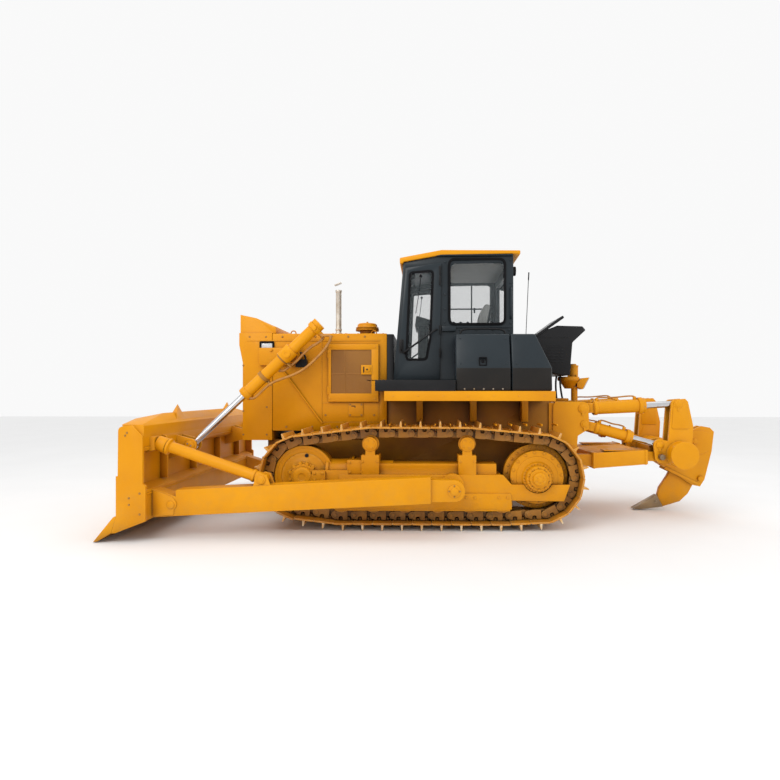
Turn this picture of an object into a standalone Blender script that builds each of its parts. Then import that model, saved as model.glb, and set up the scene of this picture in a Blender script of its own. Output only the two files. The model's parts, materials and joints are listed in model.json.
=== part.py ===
"""A crawler dozer with a straight blade and a single-shank parallelogram ripper, at full size.

Metres, +Z up, the ground at Z = 0. The blade is at -X, the ripper at +X and the machine's left side at -Y.
Places in the front half are measured from the idler's axle, and places in the rear half from the
sprocket's, so that the wheelbase sets the length. A pair of numbers is a place in the XZ plane.
"""

import math

import bpy
import bmesh
from mathutils import Matrix, Vector

# Driving dimensions.
WHEELBASE = 2.73  # idler axle to sprocket axle
GAUGE = 2.0  # between the middles of the two tracks
SHOE_WIDTH = 0.56
SHOES = 38
GROUSER = 0.062
AXLE_Z = 0.60
SPROCKET_X = 1.117
IDLER_X = SPROCKET_X - WHEELBASE
GAP = 0.0003  # between pieces that touch
PIN_GAP = 0.0008  # round a pin that turns
SIDES = ((-1, "left"), (1, "right"))

# Undercarriage.
IDLER_R = 0.49  # to the outside of the shoe plates, as for the three below
SPROCKET_R = 0.515
CARRIER_R = 0.205
ROLLER_R = 0.235
CHAIN = 0.135  # depth of the links and shoe plate together
SHOE_PLATE = 0.03
LINK_WIDTH = 0.26
CARRIER_Z = 0.985
ROLLERS = 6
FRAME_HALF = 0.20  # half the width of a track frame
FRAME_LOW, FRAME_TOP = 0.34, 0.632
TRUNNION = (IDLER_X + 1.745, 0.522)  # the blade lifts about this axis

# Hull, hood and platform.
HULL_HALF = 0.50
CASE_HALF = 0.56
HULL_LOW, HULL_TOP = 0.42, 0.98
PLATFORM_LOW, PLATFORM_TOP = 1.487, 1.602
FLOOR_TOP = 1.729
FENDER_HALF = GAUGE / 2 + SHOE_WIDTH / 2 - 0.03
HULL_REAR = SPROCKET_X + 0.26
NOSE_X = IDLER_X - 0.94
BELLY_X = IDLER_X - 0.60  # the hull's front end
HOOD_X = IDLER_X - 0.52  # where the radiator guard ends and the hood starts
HOOD_REAR = SPROCKET_X - 1.785
HOOD_HALF = 0.60
HOOD_TOP = 2.335
HOOD_LOW = 1.10
PANEL = 0.03
ENGINE_DOOR = (IDLER_X + 0.20, SPROCKET_X - 1.885, 1.465, 2.20)  # front, rear, low, top

# Cab.
CAB_FRONT = SPROCKET_X - 1.697
CAB_REAR = SPROCKET_X - 0.213
CAB_HALF = 0.75
CAB_WALL = 0.05
CAB_TOP = 3.295
ROOF = 0.09
DOOR_PLATE = 0.035
GLASS = 0.008

# Blade.
BLADE_HALF = 1.8625
END_PLATE = 0.04
CYLINDER_Y = 0.95
ARM_Y = GAUGE / 2 + SHOE_WIDTH / 2 + 0.32  # middle of a push arm
ARM_HALF = 0.10
LIFT_R = 0.07
LIFT_ROD_R = 0.04
ROD_EYE = (IDLER_X - 1.395, 0.950)
LIFT_SLOPE = math.radians(43.5)
YOKE_REACH = 1.60  # rod eye to trunnion, along the cylinder
TAIL = 0.535  # trunnion to the barrel's rear end
GLAND_REACH = 0.875  # rod eye to the gland
LUG = 0.035
LUG_SPACE = 0.118  # between a clevis's two lugs
EYE_HALF = 0.05

# Ripper.
RIPPER_Y = 0.50
ARM_PIVOT = (SPROCKET_X + 0.465, 0.722)
BEAM_PIVOT = (SPROCKET_X + 1.655, 0.778)
TILT_EYE = (SPROCKET_X + 1.87, 1.44)
TILT_HEAD = (TILT_EYE[0] - BEAM_PIVOT[0] + ARM_PIVOT[0], TILT_EYE[1] - BEAM_PIVOT[1] + ARM_PIVOT[1])
RIPPER_HEAD = (SPROCKET_X + 0.70, 1.185)
RIPPER_EYE = (SPROCKET_X + 1.642, 0.925)
CROSS_BEAM = (SPROCKET_X + 1.887, 0.81)
CROSS_R = 0.165
CROSS_HALF = 0.75
RIPPER_PIN_R = 0.045
SMALL_PIN_R = 0.035
TILT_R = 0.085
TILT_ROD_R = 0.042
RIPPER_LIFT_R = 0.07
RIPPER_ROD_R = 0.036
SHANK_HALF = 0.035

# Colours as linear RGB, with metallic and roughness.
YELLOW = ((0.76, 0.36, 0.02), 0.0, 0.40)
SLATE = ((0.055, 0.07, 0.08), 0.0, 0.45)
BLACK = ((0.02, 0.02, 0.022), 0.0, 0.55)
STEEL = ((0.45, 0.44, 0.43), 1.0, 0.30)
CHROME = ((0.75, 0.75, 0.77), 1.0, 0.12)
SEAT_GREY = ((0.06, 0.06, 0.065), 0.0, 0.8)
CLEAR = ((0.55, 0.62, 0.65), 0.0, 0.05)

for old in list(bpy.data.objects):
    bpy.data.objects.remove(old, do_unlink=True)
DOZER = bpy.data.collections.new("crawler_dozer")
TOOLS = bpy.data.collections.new("cutters_and_added_shapes")
for collection in (DOZER, TOOLS):
    bpy.context.scene.collection.children.link(collection)


# ---------------------------------------------------------------- outlines in the XZ plane


def shifted(origin_x, points):
    """The points with their X measured from origin_x."""
    return [(origin_x + x, z) for x, z in points]


def arc(centre, radius, start, end, steps):
    """Points from one angle to another, in degrees, anticlockwise with X right and Z up."""
    angles = [math.radians(start + (end - start) * i / steps) for i in range(steps + 1)]
    return [(centre[0] + radius * math.cos(a), centre[1] + radius * math.sin(a)) for a in angles]


def belt(circles, step=7.0):
    """The closed anticlockwise outline of a belt pulled round circles of (x, z, radius)."""
    normals = []
    for (x0, z0, r0), (x1, z1, r1) in zip(circles, circles[1:] + circles[:1]):
        length = math.hypot(x1 - x0, z1 - z0)
        turn = math.asin((r1 - r0) / length)
        normals.append(math.atan2(z1 - z0, x1 - x0) - math.pi / 2 - turn)
    points = []
    for i, (x, z, r) in enumerate(circles):
        start, end = normals[i - 1], normals[i]
        sweep = (end - start) % (2 * math.pi)
        steps = max(1, math.ceil(math.degrees(sweep) / step))
        points += arc((x, z), r, math.degrees(start), math.degrees(start + sweep), steps)
    return points


def inset(outline, distance):
    """A convex anticlockwise outline with each side moved in by a distance."""
    moved = []
    for (x0, z0), (x1, z1) in zip(outline, outline[1:] + outline[:1]):
        length = math.hypot(x1 - x0, z1 - z0)
        nx, nz = (z0 - z1) / length, (x1 - x0) / length
        moved.append((x0 + nx * distance, z0 + nz * distance, x1 - x0, z1 - z0))
    corners = []
    for (x0, z0, dx0, dz0), (x1, z1, dx1, dz1) in zip(moved[-1:] + moved[:-1], moved):
        t = ((x1 - x0) * dz1 - (z1 - z0) * dx1) / (dx0 * dz1 - dz0 * dx1)
        corners.append((x0 + dx0 * t, z0 + dz0 * t))
    return corners


def rounded(outline, radius, steps=4):
    """The outline with each corner turned into an arc."""
    made = []
    for i, (x, z) in enumerate(outline):
        (ax, az), (bx, bz) = outline[i - 1], outline[(i + 1) % len(outline)]
        la, lb = math.dist((ax, az), (x, z)), math.dist((bx, bz), (x, z))
        ux, uz, vx, vz = (ax - x) / la, (az - z) / la, (bx - x) / lb, (bz - z) / lb
        turn = math.acos(max(-1.0, min(1.0, ux * vx + uz * vz)))
        back = min(radius / math.tan(turn / 2), 0.45 * la, 0.45 * lb)
        for k in range(steps + 1):
            t = k / steps
            a, b = back * (1 - t) ** 2, back * t**2
            made.append((x + ux * a + vx * b, z + uz * a + vz * b))
    return made


def along(outline, distance):
    """The place on a closed outline at a distance from its start, and the outward normal there."""
    for (x0, z0), (x1, z1) in zip(outline, outline[1:] + outline[:1]):
        length = math.hypot(x1 - x0, z1 - z0)
        if length > 0 and distance <= length:
            dx, dz = (x1 - x0) / length, (z1 - z0) / length
            return Vector((x0 + dx * distance, z0 + dz * distance)), Vector((dz, -dx))
        distance -= length
    return along(outline, distance)


def perimeter(outline):
    return sum(math.dist(a, b) for a, b in zip(outline, outline[1:] + outline[:1]))


# ---------------------------------------------------------------- solids


def add_object(name, mesh):
    made = bpy.data.objects.new(name, mesh)
    DOZER.objects.link(made)
    return made


def block(name, low, high):
    """A box between two corners."""
    mesh = bpy.data.meshes.new(name)
    shape = bmesh.new()
    bmesh.ops.create_cube(shape, size=1.0)
    bmesh.ops.scale(shape, vec=[h - l for l, h in zip(low, high)], verts=shape.verts)
    shape.to_mesh(mesh)
    shape.free()
    made = add_object(name, mesh)
    made.location = [(l + h) / 2 for l, h in zip(low, high)]
    return made


def rod(name, start, end, radius, sides=16, end_radius=None):
    """A cylinder or cone between two points."""
    start, end = Vector(start), Vector(end)
    mesh = bpy.data.meshes.new(name)
    shape = bmesh.new()
    bmesh.ops.create_cone(
        shape,
        cap_ends=True,
        segments=sides,
        radius1=radius,
        radius2=radius if end_radius is None else end_radius,
        depth=(end - start).length,
    )
    shape.to_mesh(mesh)
    shape.free()
    mesh.shade_smooth()
    mesh.set_sharp_from_angle(angle=math.radians(40))
    made = add_object(name, mesh)
    made.rotation_mode = "QUATERNION"
    made.rotation_quaternion = (end - start).to_track_quat("Z", "Y")
    made.location = (start + end) / 2
    return made


def slab(name, outlines, low, high, axis="Y"):
    """A flat outline, or an outline and its holes, made as thick as low to high along an axis."""
    if not isinstance(outlines[0], list):
        outlines = [outlines]
    curve = bpy.data.curves.new(name, "CURVE")
    curve.dimensions = "2D"
    curve.fill_mode = "BOTH"
    curve.extrude = (high - low) / 2
    for outline in outlines:
        spline = curve.splines.new("POLY")
        spline.points.add(len(outline) - 1)
        for point, (u, v) in zip(spline.points, outline):
            point.co = (u, v, 0.0, 1.0)
        spline.use_cyclic_u = True
    drawn = bpy.data.objects.new(name + "_curve", curve)
    DOZER.objects.link(drawn)
    bpy.context.view_layer.update()
    mesh = bpy.data.meshes.new_from_object(drawn.evaluated_get(bpy.context.evaluated_depsgraph_get()))
    bpy.data.objects.remove(drawn, do_unlink=True)
    shape = bmesh.new()
    shape.from_mesh(mesh)
    bmesh.ops.remove_doubles(shape, verts=shape.verts, dist=1e-5)
    bmesh.ops.recalc_face_normals(shape, faces=shape.faces)
    shape.to_mesh(mesh)
    shape.free()
    made = add_object(name, mesh)
    middle = (low + high) / 2
    if axis == "Y":
        made.rotation_euler = (math.pi / 2, 0, 0)
        made.location = (0, middle, 0)
    elif axis == "X":
        made.rotation_euler = (math.pi / 2, 0, math.pi / 2)
        made.location = (middle, 0, 0)
    else:
        made.location = (0, 0, middle)
    return made


def set_aside(piece):
    DOZER.objects.unlink(piece)
    TOOLS.objects.link(piece)
    piece.hide_render = True
    piece.display_type = "WIRE"


def combine(operation, base, pieces):
    for piece in pieces:
        boolean = base.modifiers.new(piece.name, "BOOLEAN")
        boolean.operation = operation
        boolean.object = piece
        set_aside(piece)
    return base


def fuse(base, *pieces):
    return combine("UNION", base, pieces)


def cut(base, *pieces):
    return combine("DIFFERENCE", base, pieces)


def paint(piece, finish):
    (red, green, blue), metallic, roughness = finish
    made = bpy.data.materials.new(piece.name)
    made.use_nodes = True
    shader = made.node_tree.nodes["Principled BSDF"]
    shader.inputs["Base Color"].default_value = (red, green, blue, 1.0)
    shader.inputs["Metallic"].default_value = metallic
    shader.inputs["Roughness"].default_value = roughness
    made.diffuse_color = (red, green, blue, 1.0)
    piece.data.materials.clear()
    piece.data.materials.append(made)
    return piece


def span(side, inner, outer):
    """Low and high Y of something between two distances from the middle, on one side."""
    return tuple(sorted((side * inner, side * outer)))


def pin(name, place, side, inner, outer, radius, sides=24):
    """A round bar along Y at a place in the XZ plane."""
    x, z = place
    return rod(name, (x, side * inner, z), (x, side * outer, z), radius, sides)


def hang_on(name, place, y, pieces):
    """Parents pieces to an empty on the axis that they turn about."""
    axis = bpy.data.objects.new(name, None)
    axis.location = (place[0], y, place[1])
    DOZER.objects.link(axis)
    for piece in pieces:
        piece.parent = axis
        piece.matrix_parent_inverse = Matrix.Translation(-axis.location)
    return axis


# ---------------------------------------------------------------- undercarriage


def track_circles(inward):
    """The wheels that the track runs round, from the rear bottom roller on, each made smaller by inward."""
    front, rear = roller_places()[0], roller_places()[-1]
    return [
        (front[0], front[1], ROLLER_R - inward),
        (rear[0], rear[1], ROLLER_R - inward),
        (SPROCKET_X, AXLE_Z, SPROCKET_R - inward),
        (carrier_places()[1][0], CARRIER_Z, CARRIER_R - inward),
        (carrier_places()[0][0], CARRIER_Z, CARRIER_R - inward),
        (IDLER_X, AXLE_Z + 0.005, IDLER_R - inward),
    ]


def roller_places():
    first, last = IDLER_X + 0.45, SPROCKET_X - 0.40
    z = GROUSER + ROLLER_R
    count = min(ROLLERS, int((last - first) / (2 * ROLLER_R)) + 1)
    return [(first + (last - first) * i / (count - 1), z) for i in range(count)]


def carrier_places():
    return [(IDLER_X + 0.79, CARRIER_Z), (SPROCKET_X - 0.813, CARRIER_Z)]


def shoe_outline():
    """The outside of the shoe plates: a grouser bar on each, and a shallow dip where one meets the next."""
    path = belt(track_circles(0.0))
    pitch = perimeter(path) / SHOES
    outline = []
    for i in range(SHOES):
        bar, normal = along(path, i * pitch + 0.06)
        forward = Vector((-normal.y, normal.x))
        joint, joint_normal = along(path, i * pitch + 0.06 + pitch / 2)
        outline.append(tuple(bar - forward * 0.014))
        outline.append(tuple(bar - forward * 0.007 + normal * GROUSER))
        outline.append(tuple(bar + forward * 0.009 + normal * GROUSER))
        outline.append(tuple(bar + forward * 0.014))
        outline.append(tuple(joint - joint_normal * 0.005))
    return outline


def make_track(side, label):
    low, high = span(side, (GAUGE - SHOE_WIDTH) / 2, (GAUGE + SHOE_WIDTH) / 2)
    plates = slab("track_" + label, [shoe_outline(), belt(track_circles(SHOE_PLATE))], low, high)
    low, high = span(side, (GAUGE - LINK_WIDTH) / 2, (GAUGE + LINK_WIDTH) / 2)
    links = slab("links_" + label, [belt(track_circles(SHOE_PLATE - 0.008)), belt(track_circles(CHAIN))], low, high)
    return paint(fuse(plates, links), YELLOW)


def make_track_frame(side, label):
    middle = GAUGE / 2
    inner, outer = middle - FRAME_HALF, middle + FRAME_HALF
    front, rear = IDLER_X + 0.43, SPROCKET_X - 0.42

    def box(name, x0, x1, y0, y1, z0, z1):
        low, high = span(side, y0, y1)
        return block(name + "_" + label, (x0, low, z0), (x1, high, z1))

    beam = box("track_frame", front, rear, inner, outer, FRAME_LOW, FRAME_TOP)
    added = [
        box("upper_beam", front + 0.06, rear - 0.05, inner + 0.05, outer - 0.07, FRAME_TOP - 0.01, 0.751),
        rod("spring_" + label, (front - 0.03, side * middle, 0.665), (front + 0.62, side * middle, 0.665), 0.11, 20),
        slab(
            "sprocket_guard_" + label,
            shifted(SPROCKET_X, [(-0.55, 0.34), (0.30, 0.33), (0.37, 0.52), (0.16, 0.52)])
            + arc((SPROCKET_X, AXLE_Z), 0.18, -26, -154, 8)
            + shifted(SPROCKET_X, [(-0.30, 0.52), (-0.40, 0.63), (-0.55, 0.63)]),
            *span(side, outer - 0.05, outer),
        ),
        box("roller_guard", front - 0.05, rear + 0.10, outer - 0.015, outer + 0.012, 0.215, 0.42),
        pin("trunnion_" + label, TRUNNION, side, outer - 0.035, ARM_Y + 0.02, 0.06),
        pin("trunnion_base_" + label, TRUNNION, side, outer - 0.02, outer + 0.055, 0.13),
    ]
    for sign in (-1, 1):
        y0, y1 = middle + sign * 0.132, middle + sign * 0.19
        added.append(box(f"yoke_arm_{sign}", IDLER_X - 0.12, front + 0.10, min(y0, y1), max(y0, y1), 0.53, 0.68))
    added.append(pin("idler_cap_" + label, (IDLER_X, AXLE_Z + 0.005), side, middle + 0.132, middle + 0.225, 0.115))
    for i, place in enumerate(roller_places()):
        added.append(pin(f"roller_{i}_{label}", place, side, middle - 0.12, middle + 0.12, ROLLER_R - CHAIN - GAP, 16))
        added.append(pin(f"roller_shaft_{i}_{label}", place, side, inner + 0.01, outer - 0.004, 0.045, 12))
    for i, (x, z) in enumerate(carrier_places()):
        post_low, post_high = middle - 0.07, middle + 0.16
        added.append(box(f"carrier_post_{i}", x - 0.10, x + 0.10, post_low, post_high, 0.72, 0.86))
        added.append(box(f"carrier_arm_{i}", x - 0.055, x + 0.055, middle + 0.125, middle + 0.165, 0.80, z + 0.03))
        radius = CARRIER_R - CHAIN - GAP
        added.append(pin(f"carrier_{i}_{label}", (x, z), side, middle - 0.12, middle + 0.14, radius, 16))
        added.append(pin(f"carrier_cap_{i}_{label}", (x, z), side, middle + 0.135, middle + 0.205, 0.082, 16))
    return paint(fuse(beam, *added), YELLOW)


def make_idler(side, label):
    middle = GAUGE / 2
    centre = (IDLER_X, AXLE_Z + 0.005)
    wheel = pin("idler_" + label, centre, side, middle - 0.10, middle + 0.10, IDLER_R - CHAIN - 0.001, 40)
    dish = pin("idler_dish_" + label, centre, side, middle + 0.07, middle + 0.12, 0.27, 32)
    hub = pin("idler_hub_" + label, centre, side, middle - 0.1317, middle + 0.1317, 0.13)
    return paint(fuse(cut(wheel, dish), hub), YELLOW)


def make_final_drive(side, label):
    middle = GAUGE / 2
    centre = (SPROCKET_X, AXLE_Z)
    inner = (GAUGE - SHOE_WIDTH) / 2 - 0.14
    teeth = pin("final_drive_" + label, centre, side, middle - 0.04, middle + 0.04, SPROCKET_R - CHAIN - 0.001, 40)
    case = pin("drive_case_" + label, centre, side, inner + GAP, middle + 0.02, 0.30, 32)
    cover = pin("drive_cover_" + label, centre, side, middle, middle + 0.145, 0.31, 32)
    boss = pin("drive_boss_" + label, centre, side, middle + 0.10, middle + 0.26, 0.135)
    cap = pin("drive_cap_" + label, centre, side, middle + 0.20, middle + 0.33, 0.075, 20)
    return paint(fuse(teeth, case, cover, boss, cap), YELLOW)


# ---------------------------------------------------------------- hull, engine and hood


def make_hull():
    belly = block("hull", (BELLY_X, -HULL_HALF, HULL_LOW), (HULL_REAR - 0.2, HULL_HALF, HULL_TOP - GAP))
    case_front = SPROCKET_X - 1.95
    case = block("case", (case_front, -CASE_HALF, 0.55), (HULL_REAR, CASE_HALF, PLATFORM_LOW - GAP))
    added = [case]
    frame_inner = GAUGE / 2 - FRAME_HALF
    drive_inner = (GAUGE - SHOE_WIDTH) / 2 - 0.14
    for side, label in SIDES:
        added.append(pin("axle_" + label, (SPROCKET_X, AXLE_Z), side, 0.4, drive_inner, 0.25))
        for name, x in (("pivot_", SPROCKET_X - 0.85), ("equalizer_", IDLER_X + 0.95)):
            added.append(pin(name + label, (x, 0.53), side, 0.4, frame_inner - GAP, 0.08, 20))
    return paint(fuse(belly, *added), YELLOW)


def make_engine():
    low = (IDLER_X - 0.35, -0.33, HULL_TOP)
    return paint(block("engine_block", low, (SPROCKET_X - 1.98, 0.33, 1.95)), BLACK)


def make_radiator_guard():
    """The guard in front of the radiator, with the lift cylinders' yokes and the shell-shaped visor on top."""
    outline = [(NOSE_X + 0.045, HULL_TOP), (HOOD_X, HULL_TOP), (HOOD_X, HOOD_TOP + 0.009)]
    outline += [(NOSE_X, HOOD_TOP + 0.009), (NOSE_X, HOOD_TOP - 0.145), (NOSE_X + 0.045, HOOD_TOP - 0.365)]
    guard = slab("radiator_guard", outline, -HOOD_HALF - 0.003, HOOD_HALF + 0.003)
    recess = block("recess", (NOSE_X - 0.1, -0.50, 1.12), (NOSE_X + 0.13, 0.50, HOOD_TOP - 0.115))
    added = []
    x, z = lift_pivot()
    for side, label in SIDES:
        y0, y1 = span(side, HOOD_HALF + GAP, HOOD_HALF + 0.05)
        plate = block("yoke_plate_" + label, (HOOD_X - 0.15, y0, z - 0.12), (x + 0.06, y1, z + 0.10))
        boss = pin("yoke_boss_" + label, (x, z), side, HOOD_HALF + 0.03, CYLINDER_Y - LIFT_R - 0.03, 0.10)
        added += [plate, boss]
    front, top = NOSE_X + 0.006, HOOD_TOP + 0.009 - 0.005
    outline = [(front, top), (front + 0.454, top), (front + 0.454, top + 0.087), (front + 0.414, top + 0.090)]
    outline += [(front + 0.348, top + 0.125), (front + 0.206, top + 0.198), (front, top + 0.242)]
    half = HOOD_HALF - 0.03
    added.append(slab("hood_visor", outline, -half, half))
    guard = fuse(cut(guard, recess), *added)
    guard = cut(guard, slab("visor_hollow", shifted(-0.05, inset(outline, 0.03)), -half + 0.03, half - 0.03))
    bores = [
        pin("yoke_bore_" + label, (x, z), side, HOOD_HALF + 0.10, CYLINDER_Y, 0.05 + PIN_GAP)
        for side, label in SIDES
    ]
    return paint(cut(guard, *bores), YELLOW)


def make_hood():
    outer = block("hood", (HOOD_X + GAP, -HOOD_HALF, HOOD_LOW), (HOOD_REAR, HOOD_HALF, HOOD_TOP))
    inner_half = HOOD_HALF - PANEL
    hollow = block(
        "hood_hollow",
        (HOOD_X - 0.1, -inner_half, HOOD_LOW - 0.1),
        (HOOD_REAR + 0.1, inner_half, HOOD_TOP - PANEL),
    )
    front, rear, low, top = ENGINE_DOOR
    edge = 0.025
    doorway = block("engine_doorway", (front + edge, -1.0, low + edge), (rear - edge, 1.0, top - edge))
    return paint(cut(outer, hollow, doorway), YELLOW)


def make_engine_door(side, label):
    front, rear, low, top = ENGINE_DOOR
    y0, y1 = span(side, HOOD_HALF + GAP, HOOD_HALF + 0.025)
    door = paint(block("engine_door_" + label, (front, y0, low), (rear, y1, top)), YELLOW)
    hang_on("engine_door_hinge_" + label, (front, low), side * (HOOD_HALF + 0.025), [door])


def make_hood_top():
    """The air cleaner's cap and the exhaust pipe."""
    x, y, top = SPROCKET_X - 2.065, -0.30, HOOD_TOP + GAP
    neck = rod("air_cleaner", (x, y, top), (x, y, top + 0.08), 0.093, 20)
    cap = rod("air_cap", (x, y, top + 0.06), (x, y, top + 0.145), 0.15, 28, 0.125)
    paint(fuse(neck, cap), YELLOW)
    x, y = SPROCKET_X - 2.52, 0.18
    pipe = rod("exhaust_pipe", (x, y, top), (x, y, 3.03), 0.045, 16)
    base = rod("muffler_collar", (x, y, top + 0.0), (x, y, top + 0.10), 0.08, 20)
    lip = rod("rain_cap", (x - 0.06, y, 3.02), (x + 0.05, y, 3.06), 0.05, 16)
    paint(fuse(pipe, base, lip), STEEL)


# ---------------------------------------------------------------- platform, tanks and cab


def make_platform():
    """The yellow deck over both tracks, with the struts that carry it at each side."""
    front, rear = HOOD_REAR + 0.011, SPROCKET_X + 0.195
    deck = block("platform", (front, -FENDER_HALF, PLATFORM_LOW), (rear, FENDER_HALF, PLATFORM_TOP))
    struts = []
    for side, label in SIDES:
        y0, y1 = span(side, CASE_HALF + GAP, CASE_HALF + 0.14)
        for i, x in enumerate((SPROCKET_X - 1.37, SPROCKET_X - 0.70, SPROCKET_X - 0.06)):
            struts.append(block(f"strut_{i}_{label}", (x - 0.04, y0, 1.22), (x + 0.04, y1, PLATFORM_LOW + 0.01)))
    return paint(fuse(deck, *struts), YELLOW)


def make_cab_floor():
    """The black floor, wide where a driver steps in and as wide as the cab behind, with the cowl before the cab."""
    step_front, step_rear, rear = HOOD_REAR - 0.093, SPROCKET_X - 0.95, CAB_REAR + 0.01
    clear = HOOD_HALF + 0.03
    front = HOOD_REAR + GAP
    right = [(front, clear), (step_front, clear), (step_front, FENDER_HALF), (step_rear, FENDER_HALF)]
    right += [(step_rear, CAB_HALF + 0.03), (rear, CAB_HALF + 0.03)]
    outline = right + [(x, -y) for x, y in reversed(right)]
    floor = slab("cab_floor", outline, PLATFORM_TOP + GAP, FLOOR_TOP, "Z")
    low = (HOOD_REAR + GAP, -HOOD_HALF, FLOOR_TOP - 0.01)
    cowl = block("dash_cowl", low, (CAB_FRONT - 0.004, HOOD_HALF, HOOD_TOP - 0.009))
    return paint(fuse(floor, cowl), BLACK)


BOX_BREAK_Z, BOX_TOP, BOX_LEAN = 1.874, 2.275, 0.11


def box_section(side, inner):
    """A side box seen from the front: upright below, leaning in above."""
    outer = FENDER_HALF - 0.05
    section = [(inner, PLATFORM_TOP + GAP), (outer, PLATFORM_TOP + GAP), (outer, BOX_BREAK_Z)]
    section += [(outer - BOX_LEAN, BOX_TOP), (inner, BOX_TOP)]
    return [(side * y, z) for y, z in section]


def make_side_box(side, label):
    x0, x1 = SPROCKET_X - 0.944, SPROCKET_X - 0.310
    return paint(slab("side_box_" + label, box_section(side, CAB_HALF + 0.05), x0, x1, "X"), SLATE)


def tank_rear():
    """The fuel tank's leaning rear wall, from the break up to the top."""
    return [(SPROCKET_X + 0.163, BOX_BREAK_Z), (SPROCKET_X - 0.011, BOX_TOP)]


def make_fuel_tank():
    """A tank right across behind the cab, with a wing that reaches forward at each side of it."""
    rear = SPROCKET_X + 0.168
    outline = [(CAB_REAR + 0.02, PLATFORM_TOP + GAP), (rear, PLATFORM_TOP + GAP)]
    outline += tank_rear() + [(CAB_REAR + 0.02, BOX_TOP)]
    tank = slab("fuel_tank", outline, -FENDER_HALF + 0.05, FENDER_HALF - 0.05)
    for side, label in SIDES:
        wing = slab("tank_wing_" + label, box_section(side, CAB_HALF + 0.05), SPROCKET_X - 0.298, CAB_REAR + 0.05, "X")
        fuse(tank, wing)
    for side, label in SIDES:
        outer = FENDER_HALF - 0.05
        wedge = [(outer, BOX_BREAK_Z), (outer - BOX_LEAN, BOX_TOP), (outer - BOX_LEAN, 2.5), (outer + 0.2, 2.5)]
        wedge.append((outer + 0.2, BOX_BREAK_Z))
        cut(tank, slab("tank_lean_" + label, [(side * y, z) for y, z in wedge], CAB_REAR, rear + 0.2, "X"))
    return paint(tank, SLATE)


def make_rear_housing():
    """The black tapered housing on the tank's leaning rear, with its raised cover."""
    (x0, z0), (x1, z1) = tank_rear()
    slope = (x1 - x0) / (z1 - z0)
    lean = [(x0 + 0.0004 + slope * (z - z0), z) for z in (BOX_BREAK_Z + 0.01, BOX_TOP + 0.01)]
    outline = [lean[0]] + shifted(SPROCKET_X, [(0.49, 1.81), (0.585, 1.81), (0.62, 2.24), (0.79, 2.40)])
    outline += shifted(SPROCKET_X, [(0.75, 2.45), (0.42, 2.46)]) + [lean[1]]
    housing = slab("rear_housing", outline, -0.34, 0.34)
    lid = shifted(SPROCKET_X, [(0.05, 2.275), (0.07, 2.25), (0.51, 2.56), (0.49, 2.59)])
    cover = slab("housing_cover", lid, -0.36, 0.36)
    return paint(fuse(housing, cover), BLACK)


def front_wall_x(z):
    """Where the cab's leaning front face is at a height."""
    return CAB_FRONT + 0.123 * (z - FLOOR_TOP) / 1.425


def cab_outline(z_low):
    top_front, bend = front_wall_x(3.20), SPROCKET_X - 1.10
    return [(front_wall_x(z_low), z_low), (CAB_REAR, z_low), (CAB_REAR, CAB_TOP), (bend, CAB_TOP - 0.012), (top_front, 3.20)]


def cab_doorway():
    return [
        (front_wall_x(1.74) + 0.045, 1.745),
        (SPROCKET_X - 1.125, 1.745),
        (SPROCKET_X - 1.105, 3.185),
        (front_wall_x(3.12) + 0.035, 3.12),
    ]


def door_window():
    outline = [(-1.549, 1.975), (-1.275, 1.98), (-1.225, 2.25), (-1.19, 3.10), (-1.50, 3.075)]
    return rounded(shifted(SPROCKET_X, outline), 0.055)


def side_window():
    outline = [(-0.985, 2.44), (-0.325, 2.44), (-0.325, 3.19), (-0.985, 3.18)]
    return rounded(shifted(SPROCKET_X, outline), 0.07)


def pane(name, outline, low, high):
    return paint(slab(name, outline, low, high), CLEAR)


def make_cab():
    shell = slab("cab_shell", cab_outline(FLOOR_TOP + GAP), -CAB_HALF, CAB_HALF)
    inside = inset(cab_outline(FLOOR_TOP - 0.2), CAB_WALL)
    cut(shell, slab("cab_hollow", inside, -CAB_HALF + CAB_WALL, CAB_HALF - CAB_WALL))
    doorway = inset(cab_doorway(), 0.02)
    cut(shell, slab("cab_doorways", doorway, -1.0, 1.0))
    cut(shell, slab("side_window_cut", side_window(), -1.0, 1.0))
    low, top, half = 1.98, 3.06, 0.62
    screen = [(front_wall_x(low) - 0.05, low), (front_wall_x(low) + 0.2, low)]
    screen += [(front_wall_x(top) + 0.2, top), (front_wall_x(top) - 0.05, top)]
    cut(shell, slab("windshield_cut", screen, -half, half))
    cut(shell, block("rear_window_cut", (CAB_REAR - 0.2, -0.55, 2.42), (CAB_REAR + 0.1, 0.55, 3.10)))
    paint(shell, SLATE)

    shallow, deep = 0.015, 0.015 + GLASS
    glass = [(front_wall_x(low) + shallow, low + GAP), (front_wall_x(low) + deep, low + GAP)]
    glass += [(front_wall_x(top) + deep, top - GAP), (front_wall_x(top) + shallow, top - GAP)]
    pane("windshield", glass, -half + GAP, half - GAP)
    rear = block(
        "rear_window",
        (CAB_REAR - deep, -0.55 + GAP, 2.42 + GAP),
        (CAB_REAR - shallow, 0.55 - GAP, 3.10 - GAP),
    )
    paint(rear, CLEAR)
    for side, label in SIDES:
        pane("side_window_" + label, inset(side_window(), GAP), *span(side, CAB_HALF - deep, CAB_HALF - shallow))


def make_cab_door(side, label):
    inner, outer = CAB_HALF + GAP, CAB_HALF + DOOR_PLATE
    door = slab("cab_door_" + label, cab_doorway(), *span(side, inner, outer))
    cut(door, slab("door_window_cut_" + label, door_window(), *span(side, 0.5, 1.0)))
    paint(door, SLATE)
    middle = (inner + outer) / 2
    glass = pane("door_glass_" + label, inset(door_window(), GAP), *span(side, middle - 0.004, middle + 0.004))
    rear = cab_doorway()[2][0]
    hang_on("cab_door_hinge_" + label, (rear, 1.745), side * outer, [door, glass])


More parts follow.
